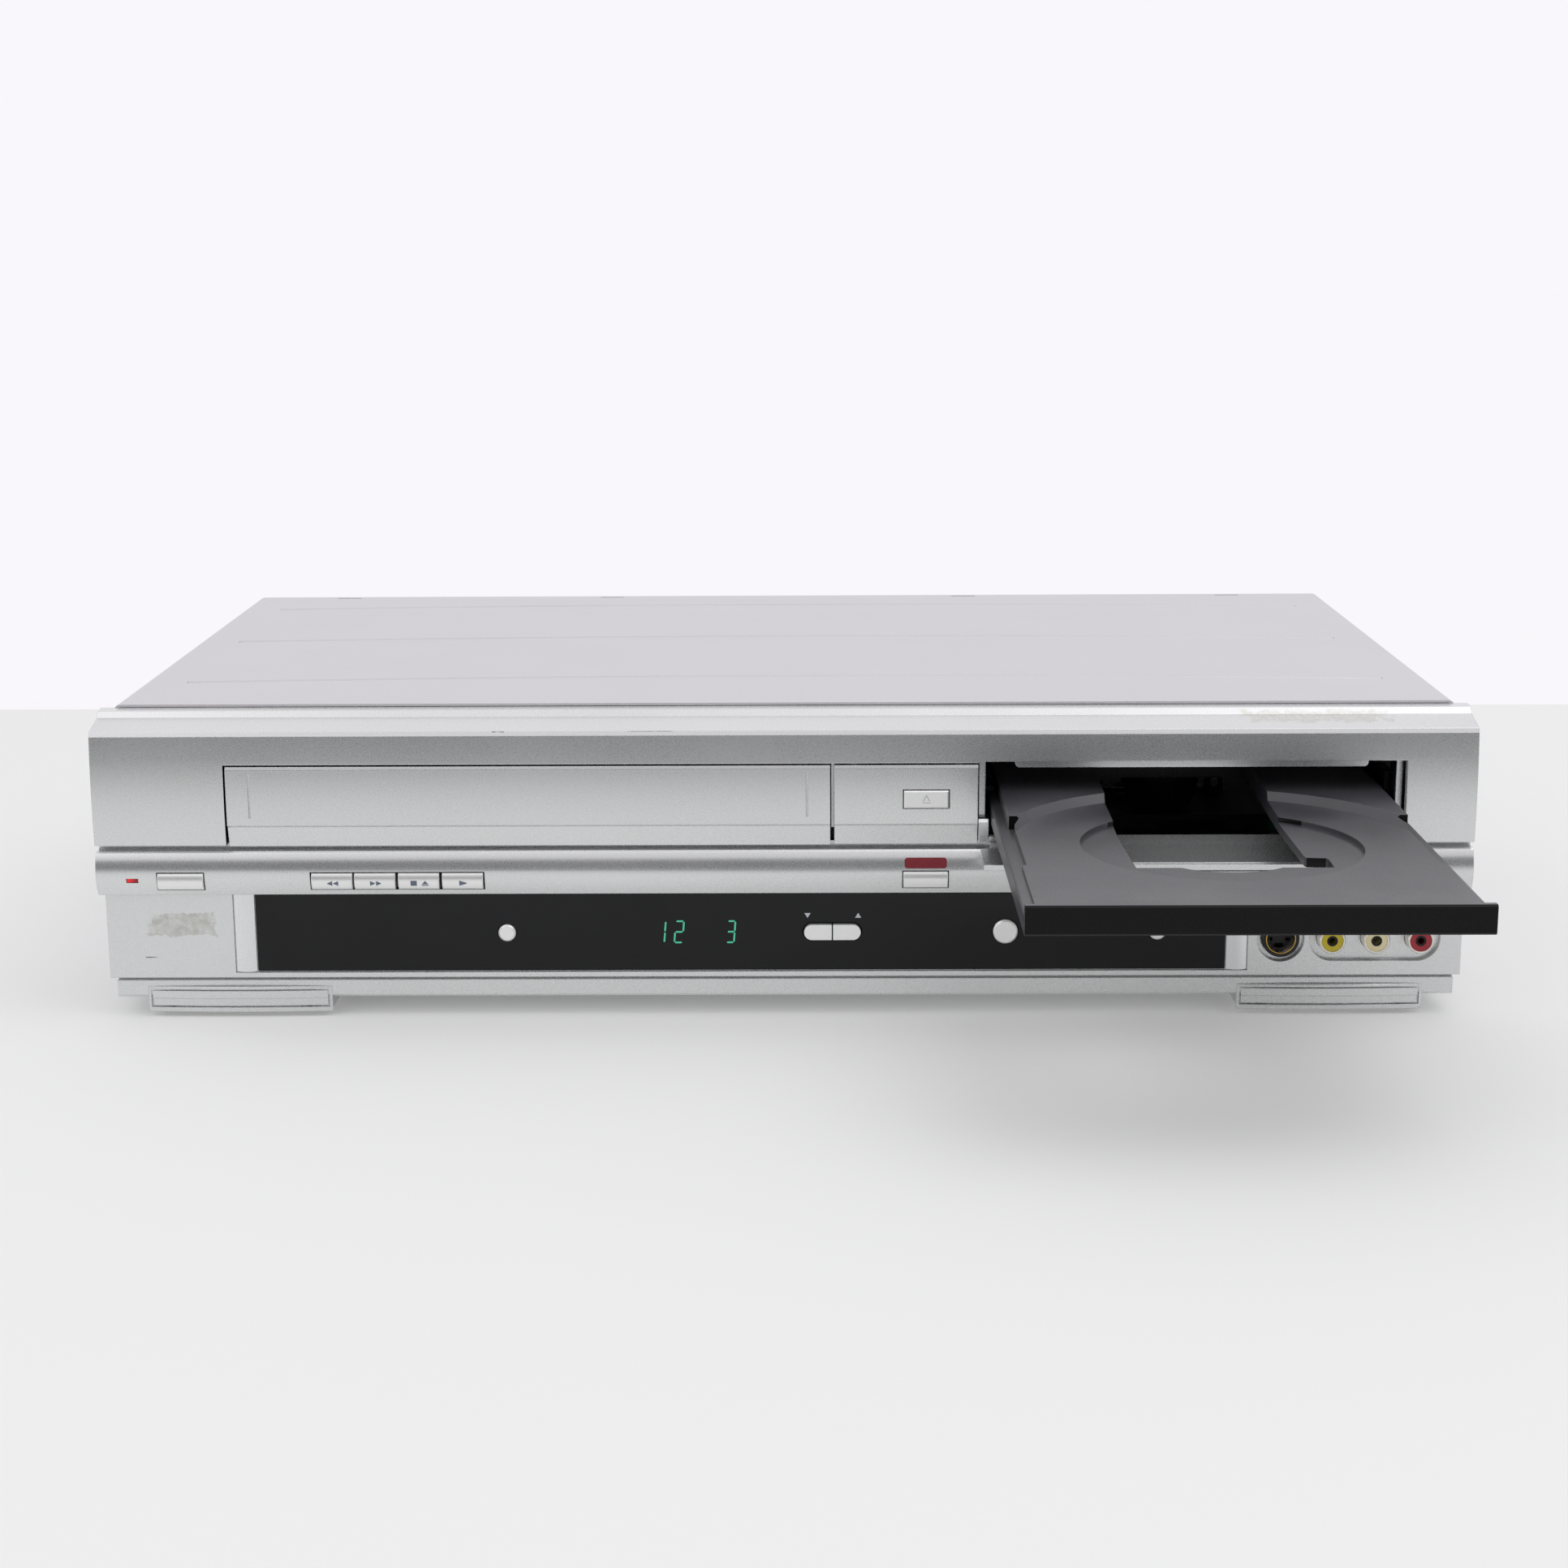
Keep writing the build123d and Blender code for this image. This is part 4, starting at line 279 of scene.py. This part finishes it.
# ---- Top cover and rear panel
# The cover is one sheet of 0.8 mm steel, pressed with three long beads, bent down at both sides and
# coated with silver-grey enamel, whose fine metal flake gives a soft sheen with a few faint stains.
# The rear panel is a flat sheet with plain grey paint.
def flake_paint(name, colour, dark, metal, rough, flake, peel, round_off):
    """Paint with metal flake and orange peel of the given sizes in mm, its tree, shader and place.

    The flake is drawn as coarse as a render needs to show its sparkle.
    """
    material, tree, shader, place = new_material(name)
    sparkle = add_node(
        tree, "ShaderNodeTexNoise", {"Vector": place, "Scale": 1 / flake, "Detail": 1.0}
    ).outputs[0]
    cloud = add_node(
        tree, "ShaderNodeTexNoise", {"Vector": place, "Scale": 1 / 45.0, "Detail": 5.0}
    ).outputs[0]
    fine = add_node(
        tree, "ShaderNodeMapRange", {"Value": sparkle, "From Min": 0.3, "From Max": 0.7, "To Max": 0.5}
    ).outputs[0]
    wide = add_node(
        tree, "ShaderNodeMapRange", {"Value": cloud, "From Min": 0.35, "From Max": 0.65, "To Max": 0.2}
    ).outputs[0]
    share = add_node(tree, "ShaderNodeMath", {0: fine, 1: wide}, operation="ADD").outputs[0]
    colours = add_node(
        tree, "ShaderNodeMix", {0: share, 6: linear(dark), 7: linear(colour)}, data_type="RGBA"
    )
    tree.links.new(colours.outputs[2], shader.inputs["Base Color"])
    rougher = add_node(
        tree, "ShaderNodeMapRange",
        {"Value": share, "From Min": 0.2, "From Max": 0.8, "To Min": rough - 0.03, "To Max": rough + 0.03},
    )
    tree.links.new(rougher.outputs[0], shader.inputs["Roughness"])
    skin = add_node(
        tree, "ShaderNodeTexNoise", {"Vector": place, "Scale": 1 / peel, "Detail": 1.0}
    ).outputs[0]
    rounded = add_node(tree, "ShaderNodeBevel", {"Radius": round_off * mm})
    bump = add_node(
        tree, "ShaderNodeBump", {"Height": skin, "Distance": 0.0005 * mm, "Normal": rounded.outputs[0]}
    )
    tree.links.new(bump.outputs[0], shader.inputs["Normal"])
    shader.inputs["Metallic"].default_value = metal
    return material, tree, shader, place


cover_enamel = flake_paint("silver_grey_baked_enamel", "#DAD8DB", "#CDCBCE", 0.3, 0.42, 0.5, 1.2, 0.3)[0]
give(cover_enamel, "top_cover")
rear_paint = flake_paint("grey_painted_steel_sheet", "#8E8F93", "#85868A", 0.2, 0.45, 0.5, 1.2, 0.2)[0]
give(rear_paint, "rear_panel")

# ---- Front panel, doors, middle panel, trims and front feet
# Moulded ABS, sprayed with silver lacquer whose flake lies flat. Inside and on the edges that the
# spray doesn't reach the plastic is left black; on the walls round the doors and buttons this black is
# also painted shade for the deep gaps. A label's glue is left on the lower band and on the slope, the
# lower band is scratched, and the front edge is chipped in two places.
silver_lacquer, tree, shader, place = flake_paint(
    "silver_lacquer_on_moulded_abs", "#E6E7E7", "#D9DADA", 0.8, 0.3, 0.35, 0.8, 0.35
)
tint = shader.inputs["Base Color"].links[0].from_socket
ragged = add_node(tree, "ShaderNodeTexNoise", {"Vector": place, "Scale": 1 / 3.0, "Detail": 5.0}).outputs[0]
blotch = add_node(tree, "ShaderNodeTexNoise", {"Vector": place, "Scale": 1 / 1.6, "Detail": 4.0}).outputs[0]

# each mark fills a box, given by its middle and half size in mm, with ragged ends and a blotchy tint
for middle, half_size, mark, strength in (
    ((-192.5, -61.5, 31.0), (12.5, 3.0, 4.3), "#A9A79C", 0.6),      # glue on the lower band
    ((168.5, -56.0, 96.3), (26.0, 5.0, 1.6), "#BDBAA8", 0.45),      # glue on the slope
    ((-202.2, -61.5, 20.2), (2.2, 3.0, 0.2), "#5E5E60", 0.85),      # scratch on the lower band
    ((-89.0, -62.6, 93.6), (2.4, 1.0, 0.22), "#6B6B6C", 0.9),       # chips of the front edge
    ((-42.0, -62.6, 93.6), (9.0, 1.0, 0.16), "#707071", 0.7),
):
    off = add_node(tree, "ShaderNodeVectorMath", {0: place, 1: middle}, operation="SUBTRACT").outputs[0]
    off = add_node(tree, "ShaderNodeVectorMath", {0: off, 1: half_size}, operation="DIVIDE").outputs[0]
    off = add_node(tree, "ShaderNodeVectorMath", {0: off}, operation="ABSOLUTE").outputs[0]
    parts = add_node(tree, "ShaderNodeSeparateXYZ", {0: off}).outputs
    reach = add_node(tree, "ShaderNodeMath", {0: parts[0], 1: parts[1]}, operation="MAXIMUM").outputs[0]
    reach = add_node(tree, "ShaderNodeMath", {0: reach, 1: parts[2]}, operation="MAXIMUM").outputs[0]
    reach = add_node(tree, "ShaderNodeMath", {0: reach, 1: ragged}, operation="ADD").outputs[0]
    inside = add_node(
        tree, "ShaderNodeMapRange",
        {"Value": reach, "From Min": 1.28, "From Max": 1.4, "To Min": strength, "To Max": 0.0},
    ).outputs[0]
    uneven = add_node(
        tree, "ShaderNodeMapRange", {"Value": blotch, "From Min": 0.3, "From Max": 0.65, "To Min": 0.25}
    ).outputs[0]
    inside = add_node(tree, "ShaderNodeMath", {0: inside, 1: uneven}, operation="MULTIPLY").outputs[0]
    tint = add_node(
        tree, "ShaderNodeMix", {0: inside, 6: tint, 7: linear(mark)}, data_type="RGBA"
    ).outputs[2]
tree.links.new(tint, shader.inputs["Base Color"])
give(silver_lacquer, "cassette_door", "centre_panel", "tray_door", "front_feet")
trim_lacquer = flake_paint(
    "silver_gloss_lacquer_on_trims", "#EAEBEC", "#E0E1E2", 0.8, 0.26, 0.35, 0.8, 0.2
)[0]
give(trim_lacquer, "window_trims")

# on the front panel the spray misses the inside, the back and the openings' walls, here in mm;
# the black on the openings' walls also stands as painted shade in the deep gaps
spray_depth = 4.9
inner_half, inner_low, inner_high = 213.4, 6.6, 93.2
doors_left, doors_right, doors_low, doors_high = -176, 68, 56, 91
buttons_low, buttons_high = 42.5, 49.5
panel = nodes["front_panel"].data
panel.materials.clear()
panel.materials.append(silver_lacquer)
panel.materials.append(inner_abs)
for polygon in panel.polygons:
    x, y, z = (part / mm for part in polygon.center)
    between_sides = abs(x) < inner_half
    hidden = y - face / mm > spray_depth and between_sides and inner_low < z < inner_high
    by_doors = doors_left < x < doors_right and doors_low < z < doors_high
    by_buttons = between_sides and buttons_low < z < buttons_high
    # the openings' walls take the black plastic, which is also painted shade for the gaps' depth
    opening_wall = abs(polygon.normal.y) < 0.5 and (by_doors or by_buttons)
    backward = polygon.normal.y > 0.6
    polygon.material_index = 1 if hidden or opening_wall or backward else 0

# ---- Foot fronts
# A silver moulded plate stands before each front foot and laps over the base. Its face bows a little
# and has a thin frame, divided by a narrow groove from a field with a crease along its middle.
foot_middle = 174.6
half, low, high = 29.6, 1.6, 10.1
plate_front, plate_back = 1.9, 3.45             # depths
bow_depth = 1.0
rim_round = 0.3
side_frame, low_frame, high_frame = 0.9, 1.6, 0.95
wall, groove_width, groove_depth = 0.05, 0.4, 1.0
field_half, field_columns = 27.5, 23
crease, crease_width, crease_depth = 6.0, 0.3, 0.25


def frame_steps(frame_width):
    """Distances from the rim where the face turns: rounding, frame, and the groove's two walls."""
    groove_start = frame_width + wall
    groove_end = groove_start + groove_width
    return np.array([0.0, rim_round, frame_width, groove_start, groove_end, groove_end + wall])


def grid_quads(rows, columns, closed=False):
    """Four point numbers for each cell of a grid of points that is counted row by row.

    If the grid is closed, its last column is joined to its first.
    """
    steps = columns if closed else columns - 1
    row, column = np.divmod(np.arange((rows - 1) * steps), steps)
    start = row * columns + column
    after = row * columns + (column + 1) % columns
    return np.stack([start, after, after + columns, start + columns], axis=-1)


upward = np.concatenate([
    low + frame_steps(low_frame), [crease, crease + crease_width], high - frame_steps(high_frame)[::-1]
])
for side, way in (("left", -1), ("right", 1)):
    middle = way * foot_middle
    across = np.concatenate([
        middle - half + frame_steps(side_frame),
        np.linspace(middle - field_half, middle + field_half, field_columns),
        middle + half - frame_steps(side_frame)[::-1],
    ])
    x, z = np.meshgrid(across, upward)
    bow = bow_depth * ((x - middle) / half) ** 2
    from_side = half - np.abs(x - middle)
    from_rim = np.minimum(from_side, np.minimum(z - low, high - z))
    rounding = rim_round * (1 - np.clip(from_rim / rim_round, 0, 1)) ** 2
    past_frame = np.minimum(from_side - side_frame, np.minimum(z - low - low_frame, high - high_frame - z))
    field_start = groove_width + 1.5 * wall
    groove = (past_frame > 0.5 * wall) & (past_frame < field_start)
    low_field = (past_frame > field_start) & (z < crease + 0.5 * crease_width)
    depth = plate_front + bow + rounding + groove_depth * groove + crease_depth * low_field
    front = np.stack([x, face / mm + depth, z], axis=-1).reshape(-1, 3)
    back = np.stack([x, np.full_like(x, face / mm + plate_back), z], axis=-1).reshape(-1, 3)
    cells = grid_quads(*x.shape)
    number = np.arange(x.size).reshape(x.shape)
    rim = np.concatenate([number[0], number[1:, -1], number[-1, -2::-1], number[-2:0:-1, 0]])
    after = np.roll(rim, -1)
    rim_quads = np.stack([rim, rim + x.size, after + x.size, after], axis=-1)
    quads = np.vstack([cells, cells[:, ::-1] + x.size, rim_quads])
    plate = new_object(f"foot_front_{side}", np.vstack([front, back]) * mm, quads)
    plate.data.materials.append(silver_lacquer)
    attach(plate, "case")

# ---- Window and display
# Black acrylic, moulded and polished, with wiping smears. The figures of the display tube glow
# green through it: seven-segment strokes 7 mm high that lean a little.
window_face = 1.5                   # depth
figure_low, figure_high, stroke_width, lean = 24.7, 7.0, 0.55, 0.08
acrylic, tree, shader, place = new_material("black_polished_acrylic")
smear = add_node(
    tree, "ShaderNodeTexNoise", {"Vector": place, "Scale": 1 / 18.0, "Detail": 6.0, "Distortion": 0.6}
)
rougher = add_node(
    tree, "ShaderNodeMapRange",
    {"Value": smear.outputs[0], "From Min": 0.35, "From Max": 0.7, "To Min": 0.1, "To Max": 0.24},
)
tree.links.new(rougher.outputs[0], shader.inputs["Roughness"])
shader.inputs["Base Color"].default_value = linear("#06070A")
shader.inputs["Specular IOR Level"].default_value = 0.3
give(acrylic, "display_window")


def strokes(name, outlines, depths, body, material):
    """Thin printed or glowing shapes, each a convex outline of x, z corners in mm.

    Each outline is cut into rows at most 0.25 mm high. A row's ends are where its height meets the
    outline's edges, by the share of each edge's rise that lies below it. Its depth is what the
    function depths gives for that height, less a film of 0.04 mm.
    """
    row_height, film, inset = 0.25, 0.04, 1e-4
    vertices, quads = np.zeros((0, 3)), np.zeros((0, 4), int)
    for outline in outlines:
        ring = np.array(outline, float)
        after = np.roll(ring, -1, axis=0)
        bottom, top = ring[:, 1].min(), ring[:, 1].max()
        count = max(2, math.ceil((top - bottom) / row_height) + 1)
        z = np.linspace(bottom + inset, top - inset, count)
        below = z[:, None] - ring[:, 1]
        crossed = below * (z[:, None] - after[:, 1]) < 0
        rise = np.where(crossed, after[:, 1] - ring[:, 1], 1.0)
        x = ring[:, 0] + below / rise * (after[:, 0] - ring[:, 0])
        y = face / mm + depths(z) - film
        left_end = np.stack([np.where(crossed, x, np.inf).min(axis=1), y, z], axis=-1)
        right_end = np.stack([np.where(crossed, x, -np.inf).max(axis=1), y, z], axis=-1)
        quads = np.vstack([quads, grid_quads(count, 2) + len(vertices)])
        vertices = np.vstack([vertices, np.stack([left_end, right_end], axis=1).reshape(-1, 3)])
    piece = new_object(name, vertices * mm, quads)
    piece.data.materials.append(material)
    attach(piece, body)


def level(depth):
    """The same depth at every height, as on a flat upright face."""
    return lambda z: np.full_like(z, depth)


def figure(number, left, wide):
    """Strokes of one seven-segment figure: bars along the edges of a box cut in two at mid height."""
    lit = {1: "bc", 2: "abged", 3: "abgcd"}[number]
    foot, waist, head = figure_low, figure_low + figure_high / 2, figure_low + figure_high
    bars = {
        "a": (left, head, left + wide, head), "g": (left, waist, left + wide, waist),
        "d": (left, foot, left + wide, foot), "b": (left + wide, waist, left + wide, head),
        "c": (left + wide, foot, left + wide, waist), "e": (left, foot, left, waist),
    }
    drawn = []
    for key in lit:
        x0, z0, x1, z1 = bars[key]
        along = np.array([x1 - x0, z1 - z0])
        along = along / np.linalg.norm(along) * stroke_width
        across = np.array([-along[1], along[0]]) / 2
        start = np.array([x0, z0]) + along * 0.7
        end = np.array([x1, z1]) - along * 0.7
        corners = [
            start - along / 2, start + across, end + across,
            end + along / 2, end - across, start - across,
        ]
        drawn.append([(x + lean * (z - foot), z) for x, z in corners])
    return drawn


glow, tree, shader, place = new_material("green_phosphor_glow")
shader.inputs["Base Color"].default_value = linear("#1F5E4A")
shader.inputs["Emission Color"].default_value = linear("#52CFA6")
mesh_lines = add_node(
    tree, "ShaderNodeTexWave", {"Vector": place, "Scale": 1.0}, bands_direction="X"
).outputs["Fac"]
power = add_node(tree, "ShaderNodeMapRange", {"Value": mesh_lines, "To Min": 0.45, "To Max": 0.75})
tree.links.new(power.outputs[0], shader.inputs["Emission Strength"])
digits = figure(1, -40.6, 2.6) + figure(2, -34.8, 2.6) + figure(3, -18.2, 2.4)
strokes("display_figures", digits, level(window_face), "case", glow)


# ---- Buttons
# Moulded ABS with the same lacquer, a little brighter, and grey-blue symbols printed on the faces.
# Rewind and forward are pairs of triangles, then stop and eject, play, and up and down arrows.
def bowed(points):
    """Depth by height on the circle through three points of depth and height.

    The depth is the circle's middle depth less a root: that of the radius squared less the square of
    the height's distance from the middle height.
    """
    (d1, z1), (d2, z2), (d3, z3) = points
    system = np.array([[d2 - d1, z2 - z1], [d3 - d1, z3 - z1]]) * 2
    sums = np.array([d2**2 + z2**2 - d1**2 - z1**2, d3**2 + z3**2 - d1**2 - z1**2])
    middle_depth, middle_height = np.linalg.solve(system, sums)
    radius = math.hypot(d1 - middle_depth, z1 - middle_height)
    return lambda z: middle_depth - np.sqrt(radius**2 - (z - middle_height) ** 2)


def triangle(x, z, wide, high, way):
    """Corners of a triangle that points along +x or -x."""
    return [(x - way * wide / 2, z - high / 2), (x - way * wide / 2, z + high / 2), (x + way * wide / 2, z)]


def arrow(x, z, wide, high, way):
    """Corners of a triangle that points up or down."""
    return [(x - wide / 2, z - way * high / 2), (x + wide / 2, z - way * high / 2), (x, z + way * high / 2)]


def bar(left, low, right, high):
    """Corners of an upright rectangle."""
    return [(left, low), (right, low), (right, high), (left, high)]


def printing_ink(name, dark, colour, wear_size=0.5, rough=0.5):
    """Printed ink that wear of the given size in mm has thinned in places."""
    material, tree, shader, place = new_material(name)
    wear = add_node(
        tree, "ShaderNodeTexNoise", {"Vector": place, "Scale": 1 / wear_size, "Detail": 2.0}
    ).outputs[0]
    inks = add_node(tree, "ShaderNodeMix", {0: wear, 6: linear(dark), 7: linear(colour)}, data_type="RGBA")
    tree.links.new(inks.outputs[2], shader.inputs["Base Color"])
    shader.inputs["Roughness"].default_value = rough
    return material


button_lacquer = flake_paint("silver_lacquer_on_buttons", "#F4F4F3", "#ECECEB", 0.6, 0.34, 0.3, 0.7, 0.3)[0]
give(button_lacquer, *(name for name in nodes if name.endswith("_button")))
button_face = bowed([(-1.6, 43.3), (-2.7, 46.0), (-2.0, 48.7)])
ink = printing_ink("grey_blue_printing_ink", "#4E5868", "#6B7484")
row = 45.5                          # height of the symbols' middles
rewind_marks = [triangle(x, row, 1.85, 1.6, -1) for x in (-143.4, -141.5)]
strokes("rewind_marks", rewind_marks, button_face, "rewind_button", ink)
forward_marks = [triangle(x, row, 1.85, 1.6, 1) for x in (-129.6, -127.7)]
strokes("forward_marks", forward_marks, button_face, "forward_button", ink)
stop_eject_marks = [
    bar(-117.7, row - 0.85, -115.7, row + 0.85),
    bar(-114.2, row - 0.85, -112.0, row - 0.55),
    arrow(-113.1, row + 0.25, 2.1, 1.15, 1),
]
strokes("stop_eject_marks", stop_eject_marks, button_face, "stop_eject_button", ink)
strokes("play_mark", [triangle(-100.9, row, 2.8, 1.75, 1)], button_face, "play_button", ink)
pale_ink = printing_ink("pale_grey_printing_ink", "#A9ABB2", "#C6C8CE")
channel_marks = [arrow(7.7, 33.5, 2.0, 1.6, -1), arrow(23.8, 33.5, 2.0, 1.6, 1)]
strokes("channel_marks", channel_marks, level(window_face), "case", pale_ink)

# the tray's symbol is a bar under an open arrowhead of two strokes
tray_button_face = -2.3             # depth
tray_mark = [
    bar(43.9, 70.9, 46.3, 71.15),
    [(43.9, 71.5), (44.25, 71.5), (45.2, 73.2), (45.02, 73.5)],
    [(45.95, 71.5), (46.3, 71.5), (45.18, 73.5), (45.0, 73.2)],
]
strokes("tray_button_mark", tray_mark, level(tray_button_face), "tray_button", pale_ink)

# ---- Badge over the dubbing button and the power light
# The badge's place keeps a plain dark red field with cut corners, printed on the strip. The light is
# clear red plastic, lit from behind, and brightest at its outer end.
badge_left, badge_right, badge_low, badge_high, cut = 38.4, 51.7, 49.7, 53.0, 0.6
strip_face = bowed([(0.3, 41.2), (-1.8, 47.0), (-0.1, 54.8)])
badge = [
    (badge_left + cut, badge_low), (badge_right - cut, badge_low),
    (badge_right, badge_low + cut), (badge_right, badge_high - cut),
    (badge_right - cut, badge_high), (badge_left + cut, badge_high),
    (badge_left, badge_high - cut), (badge_left, badge_low + cut),
]
red_ink = printing_ink("dark_red_printing_ink", "#6E1420", "#86202C", wear_size=0.8, rough=0.45)
strokes("dubbing_badge", [badge], strip_face, "case", red_ink)

light_left, light_right = -207.6, -205.2
lit_red, tree, shader, place = new_material("red_clear_lamp_plastic")
shader.inputs["Base Color"].default_value = linear("#8E0F14")
shader.inputs["Roughness"].default_value = 0.2
shader.inputs["Emission Color"].default_value = linear("#E0202A")
along = add_node(tree, "ShaderNodeSeparateXYZ", {0: place}).outputs[0]
core = add_node(
    tree, "ShaderNodeMapRange",
    {"Value": along, "From Min": light_left, "From Max": light_right, "To Min": 0.9, "To Max": 0.12},
)
tree.links.new(core.outputs[0], shader.inputs["Emission Strength"])
give(lit_red, "power_led")

# ---- Front and rear sockets
# Each phono socket is a coloured moulding in a nickel-plated ring, with a flat near-black ring at the
# mouth of its hole that is painted shade. The round S-video socket has a black collar, a thin gilt
# ring and a plated shell that narrows to its pins.
socket_pitch = 14
front_left, front_height = 174.2, 25.3
video_centre = (158.3, front_height)
front_ring = [(3.45, -1.22), (3.5, -1.42), (3.95, -1.42), (4.2, -1.15), (4.2, 3.4)]
front_hole_shade = [(1.0, -1.23), (1.0, -1.24), (1.7, -1.24), (1.7, -1.2)]
rear_left, rear_end = -128, 253.0   # x of the first pair, and depth of the rear sockets' ends
rear_ring = [(1.7, rear_end - 0.1), (1.7, rear_end + 0.06), (3.3, rear_end + 0.06), (3.3, rear_end - 0.1)]
rear_shell = [
    (3.4, rear_end - 0.2), (3.45, rear_end + 0.05), (4.0, rear_end + 0.05), (4.2, rear_end - 0.2),
    (4.2, rear_end - 6.6),
]


def lathe(name, centre, profile, material, way=-1):
    """Surface of revolution: the profile's radius and depth in mm turned once round a Y axis.

    Each point stands at the centre plus radius times cosine and sine of the turn. The surface faces
    one side where way is -1 and the other where way is 1.
    """
    count = 48
    turn = np.linspace(0, 2 * math.pi, count, endpoint=False)
    radius, depth = np.array(profile, float).T[:, :, None]
    x = centre[0] + radius * np.cos(turn)
    z = centre[1] + radius * np.sin(turn)
    y = np.broadcast_to(face / mm + depth, x.shape)
    vertices = np.stack([x, y, z], axis=-1).reshape(-1, 3) * mm
    piece = new_object(name, vertices, grid_quads(len(profile), count, closed=True)[:, ::-way])
    piece.data.materials.append(material)
    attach(piece, "case")


nickel = bare_metal("nickel_plated_brass", "#E6E3DC", "#D8D5CE", 0.16, 5.0, 0.5)
gilt = bare_metal("gilt_plated_steel", "#D9B45C", "#C8A24C", 0.2, 5.0, 0.5)
# painted shade: a flat near-black ring that stands for the dark inside of each front socket's hole
hole_shade = moulded_plastic("painted_shade_in_socket_hole", "#050505", "#030303", 0.7, 0.6, 0.0)
insets = {
    name: moulded_plastic(f"{name}_abs_moulded", colour, dark, 0.3, 1.0, 0.006)
    for name, colour, dark in (
        ("yellow", "#C9B61E", "#B5A318"), ("white", "#E6DAB0", "#D8CB9E"), ("red", "#A8162A", "#8E1020"),
        ("green", "#1C7A3C", "#166A32"), ("blue", "#2450A0", "#1C4490"),
    )
}
for step, name in enumerate(("yellow", "white", "red")):
    centre = (front_left + socket_pitch * step, front_height)
    give(insets[name], f"front_{name}_jack")
    lathe(f"front_{name}_ring", centre, front_ring, nickel)
    lathe(f"front_{name}_well", centre, front_hole_shade, hole_shade)
lathe("video_gilt_ring", video_centre, [(4.45, 1.25), (4.5, 1.05), (4.75, 1.05), (4.8, 1.25)], gilt)
lathe("video_shell", video_centre, [(4.5, 1.3), (3.5, 3.4), (3.3, 4.6)], nickel, way=1)
for height, names in (
    (24, ("yellow", "white", "red", "green", "blue")),
    (40, ("yellow", "white", "red", "white", "red")),
):
    for step, name in enumerate(names):
        centre = (rear_left + socket_pitch * step, height)
        lathe(f"rear_ring_{name}_{step}_{height}", centre, rear_ring, insets[name], way=1)
        lathe(f"rear_shell_{step}_{height}", centre, rear_shell, nickel, way=1)

# threads of the two aerial connectors: a V profile of 0.8 mm pitch round each barrel
aerial_x, barrel, thread_depth, thread_pitch = -194.0, 4.8, 0.22, 0.8
barrel_start, thread_start, barrel_end = 247.2, 247.4, 254.8
steps = np.arange(0, 7.2, thread_pitch / 2)
crests = barrel + 0.02 + thread_depth * (np.arange(steps.size) % 2)
thread = np.stack([crests, thread_start + steps], axis=-1)
thread = np.vstack([(barrel, barrel_start), thread, (barrel, barrel_end)])
for height in (26, 44):
    lathe(f"aerial_thread_{height}", (aerial_x, height), thread, nickel, way=1)

# ---- Screws
# Plated steel, each head with a cross recess, driven through the cover's sides and the rear panel.
# A recess is drawn as a dark cross that lies just over the head.
side_screw, rear_screw = 213.8 + 1.63, 247.63       # x of the side heads, depth of the rear heads
slot_half, slot_half_width = 1.7, 0.35
screw_steel = bare_metal("black_zinc_screw_steel", "#5A5A5C", "#4A4A4C", 0.35, 3.0, 0.4)
give(screw_steel, "case_screws")
recess = moulded_plastic("shadow_in_recess", "#0A0A0A", "#080808", 0.8, 0.6, 0.0)


def cross(origin, along, across):
    """Corners of two flat bars that cross at a screw's middle, in the plane of two unit vectors."""
    return [
        (Vector(origin) + Vector(first) * a + Vector(second) * b) * mm
        for first, second in ((along, across), (across, along))
        for a, b in bar(-slot_half, -slot_half_width, slot_half, slot_half_width)
    ]


corners = []
for way in (-1, 1):
    for depth in (45, 205):
        corners += cross((way * side_screw, face / mm + depth, 15.0), (0, 1, 0), (0, 0, 1))
for x, z in ((-199.9, 90), (0, 90), (199.9, 90), (-60, 12), (60, 12)):
    corners += cross((x, face / mm + rear_screw, z), (1, 0, 0), (0, 0, 1))
crosses = new_object("screw_recesses", corners, np.arange(len(corners)).reshape(-1, 4))
crosses.data.materials.append(recess)
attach(crosses, "case")

# ---- Disc tray
# Black ABS moulded with a fine spark-eroded grain. Its top is painted a lighter grey, painted light for
# the pale wall it mirrors at a flat angle, and its front lip is painted near black: one plastic in two
# shades.
tray_top_painted_light = moulded_plastic("black_abs_top_painted_lighter", "#424247", "#36363B", 0.34, 0.45, 0.006, 0.3)
tray_top_painted_light.node_tree.nodes["Principled BSDF"].inputs["IOR"].default_value = 1.62
tray_front_painted_dark = moulded_plastic("black_abs_front_painted_darker", "#0C0C0E", "#070708", 0.3, 0.6, 0.003, 0.3)
tray_front_painted_dark.node_tree.nodes["Principled BSDF"].inputs["Specular IOR Level"].default_value = 0.16
tray = nodes["disc_tray"].data
tray.materials.clear()
tray.materials.append(tray_top_painted_light)
tray.materials.append(tray_front_painted_dark)
# forward faces take the darker copy and the rest the lighter one: painted light and shade of one plastic
for polygon in tray.polygons:
    polygon.material_index = 1 if polygon.normal.y < -0.7 else 0
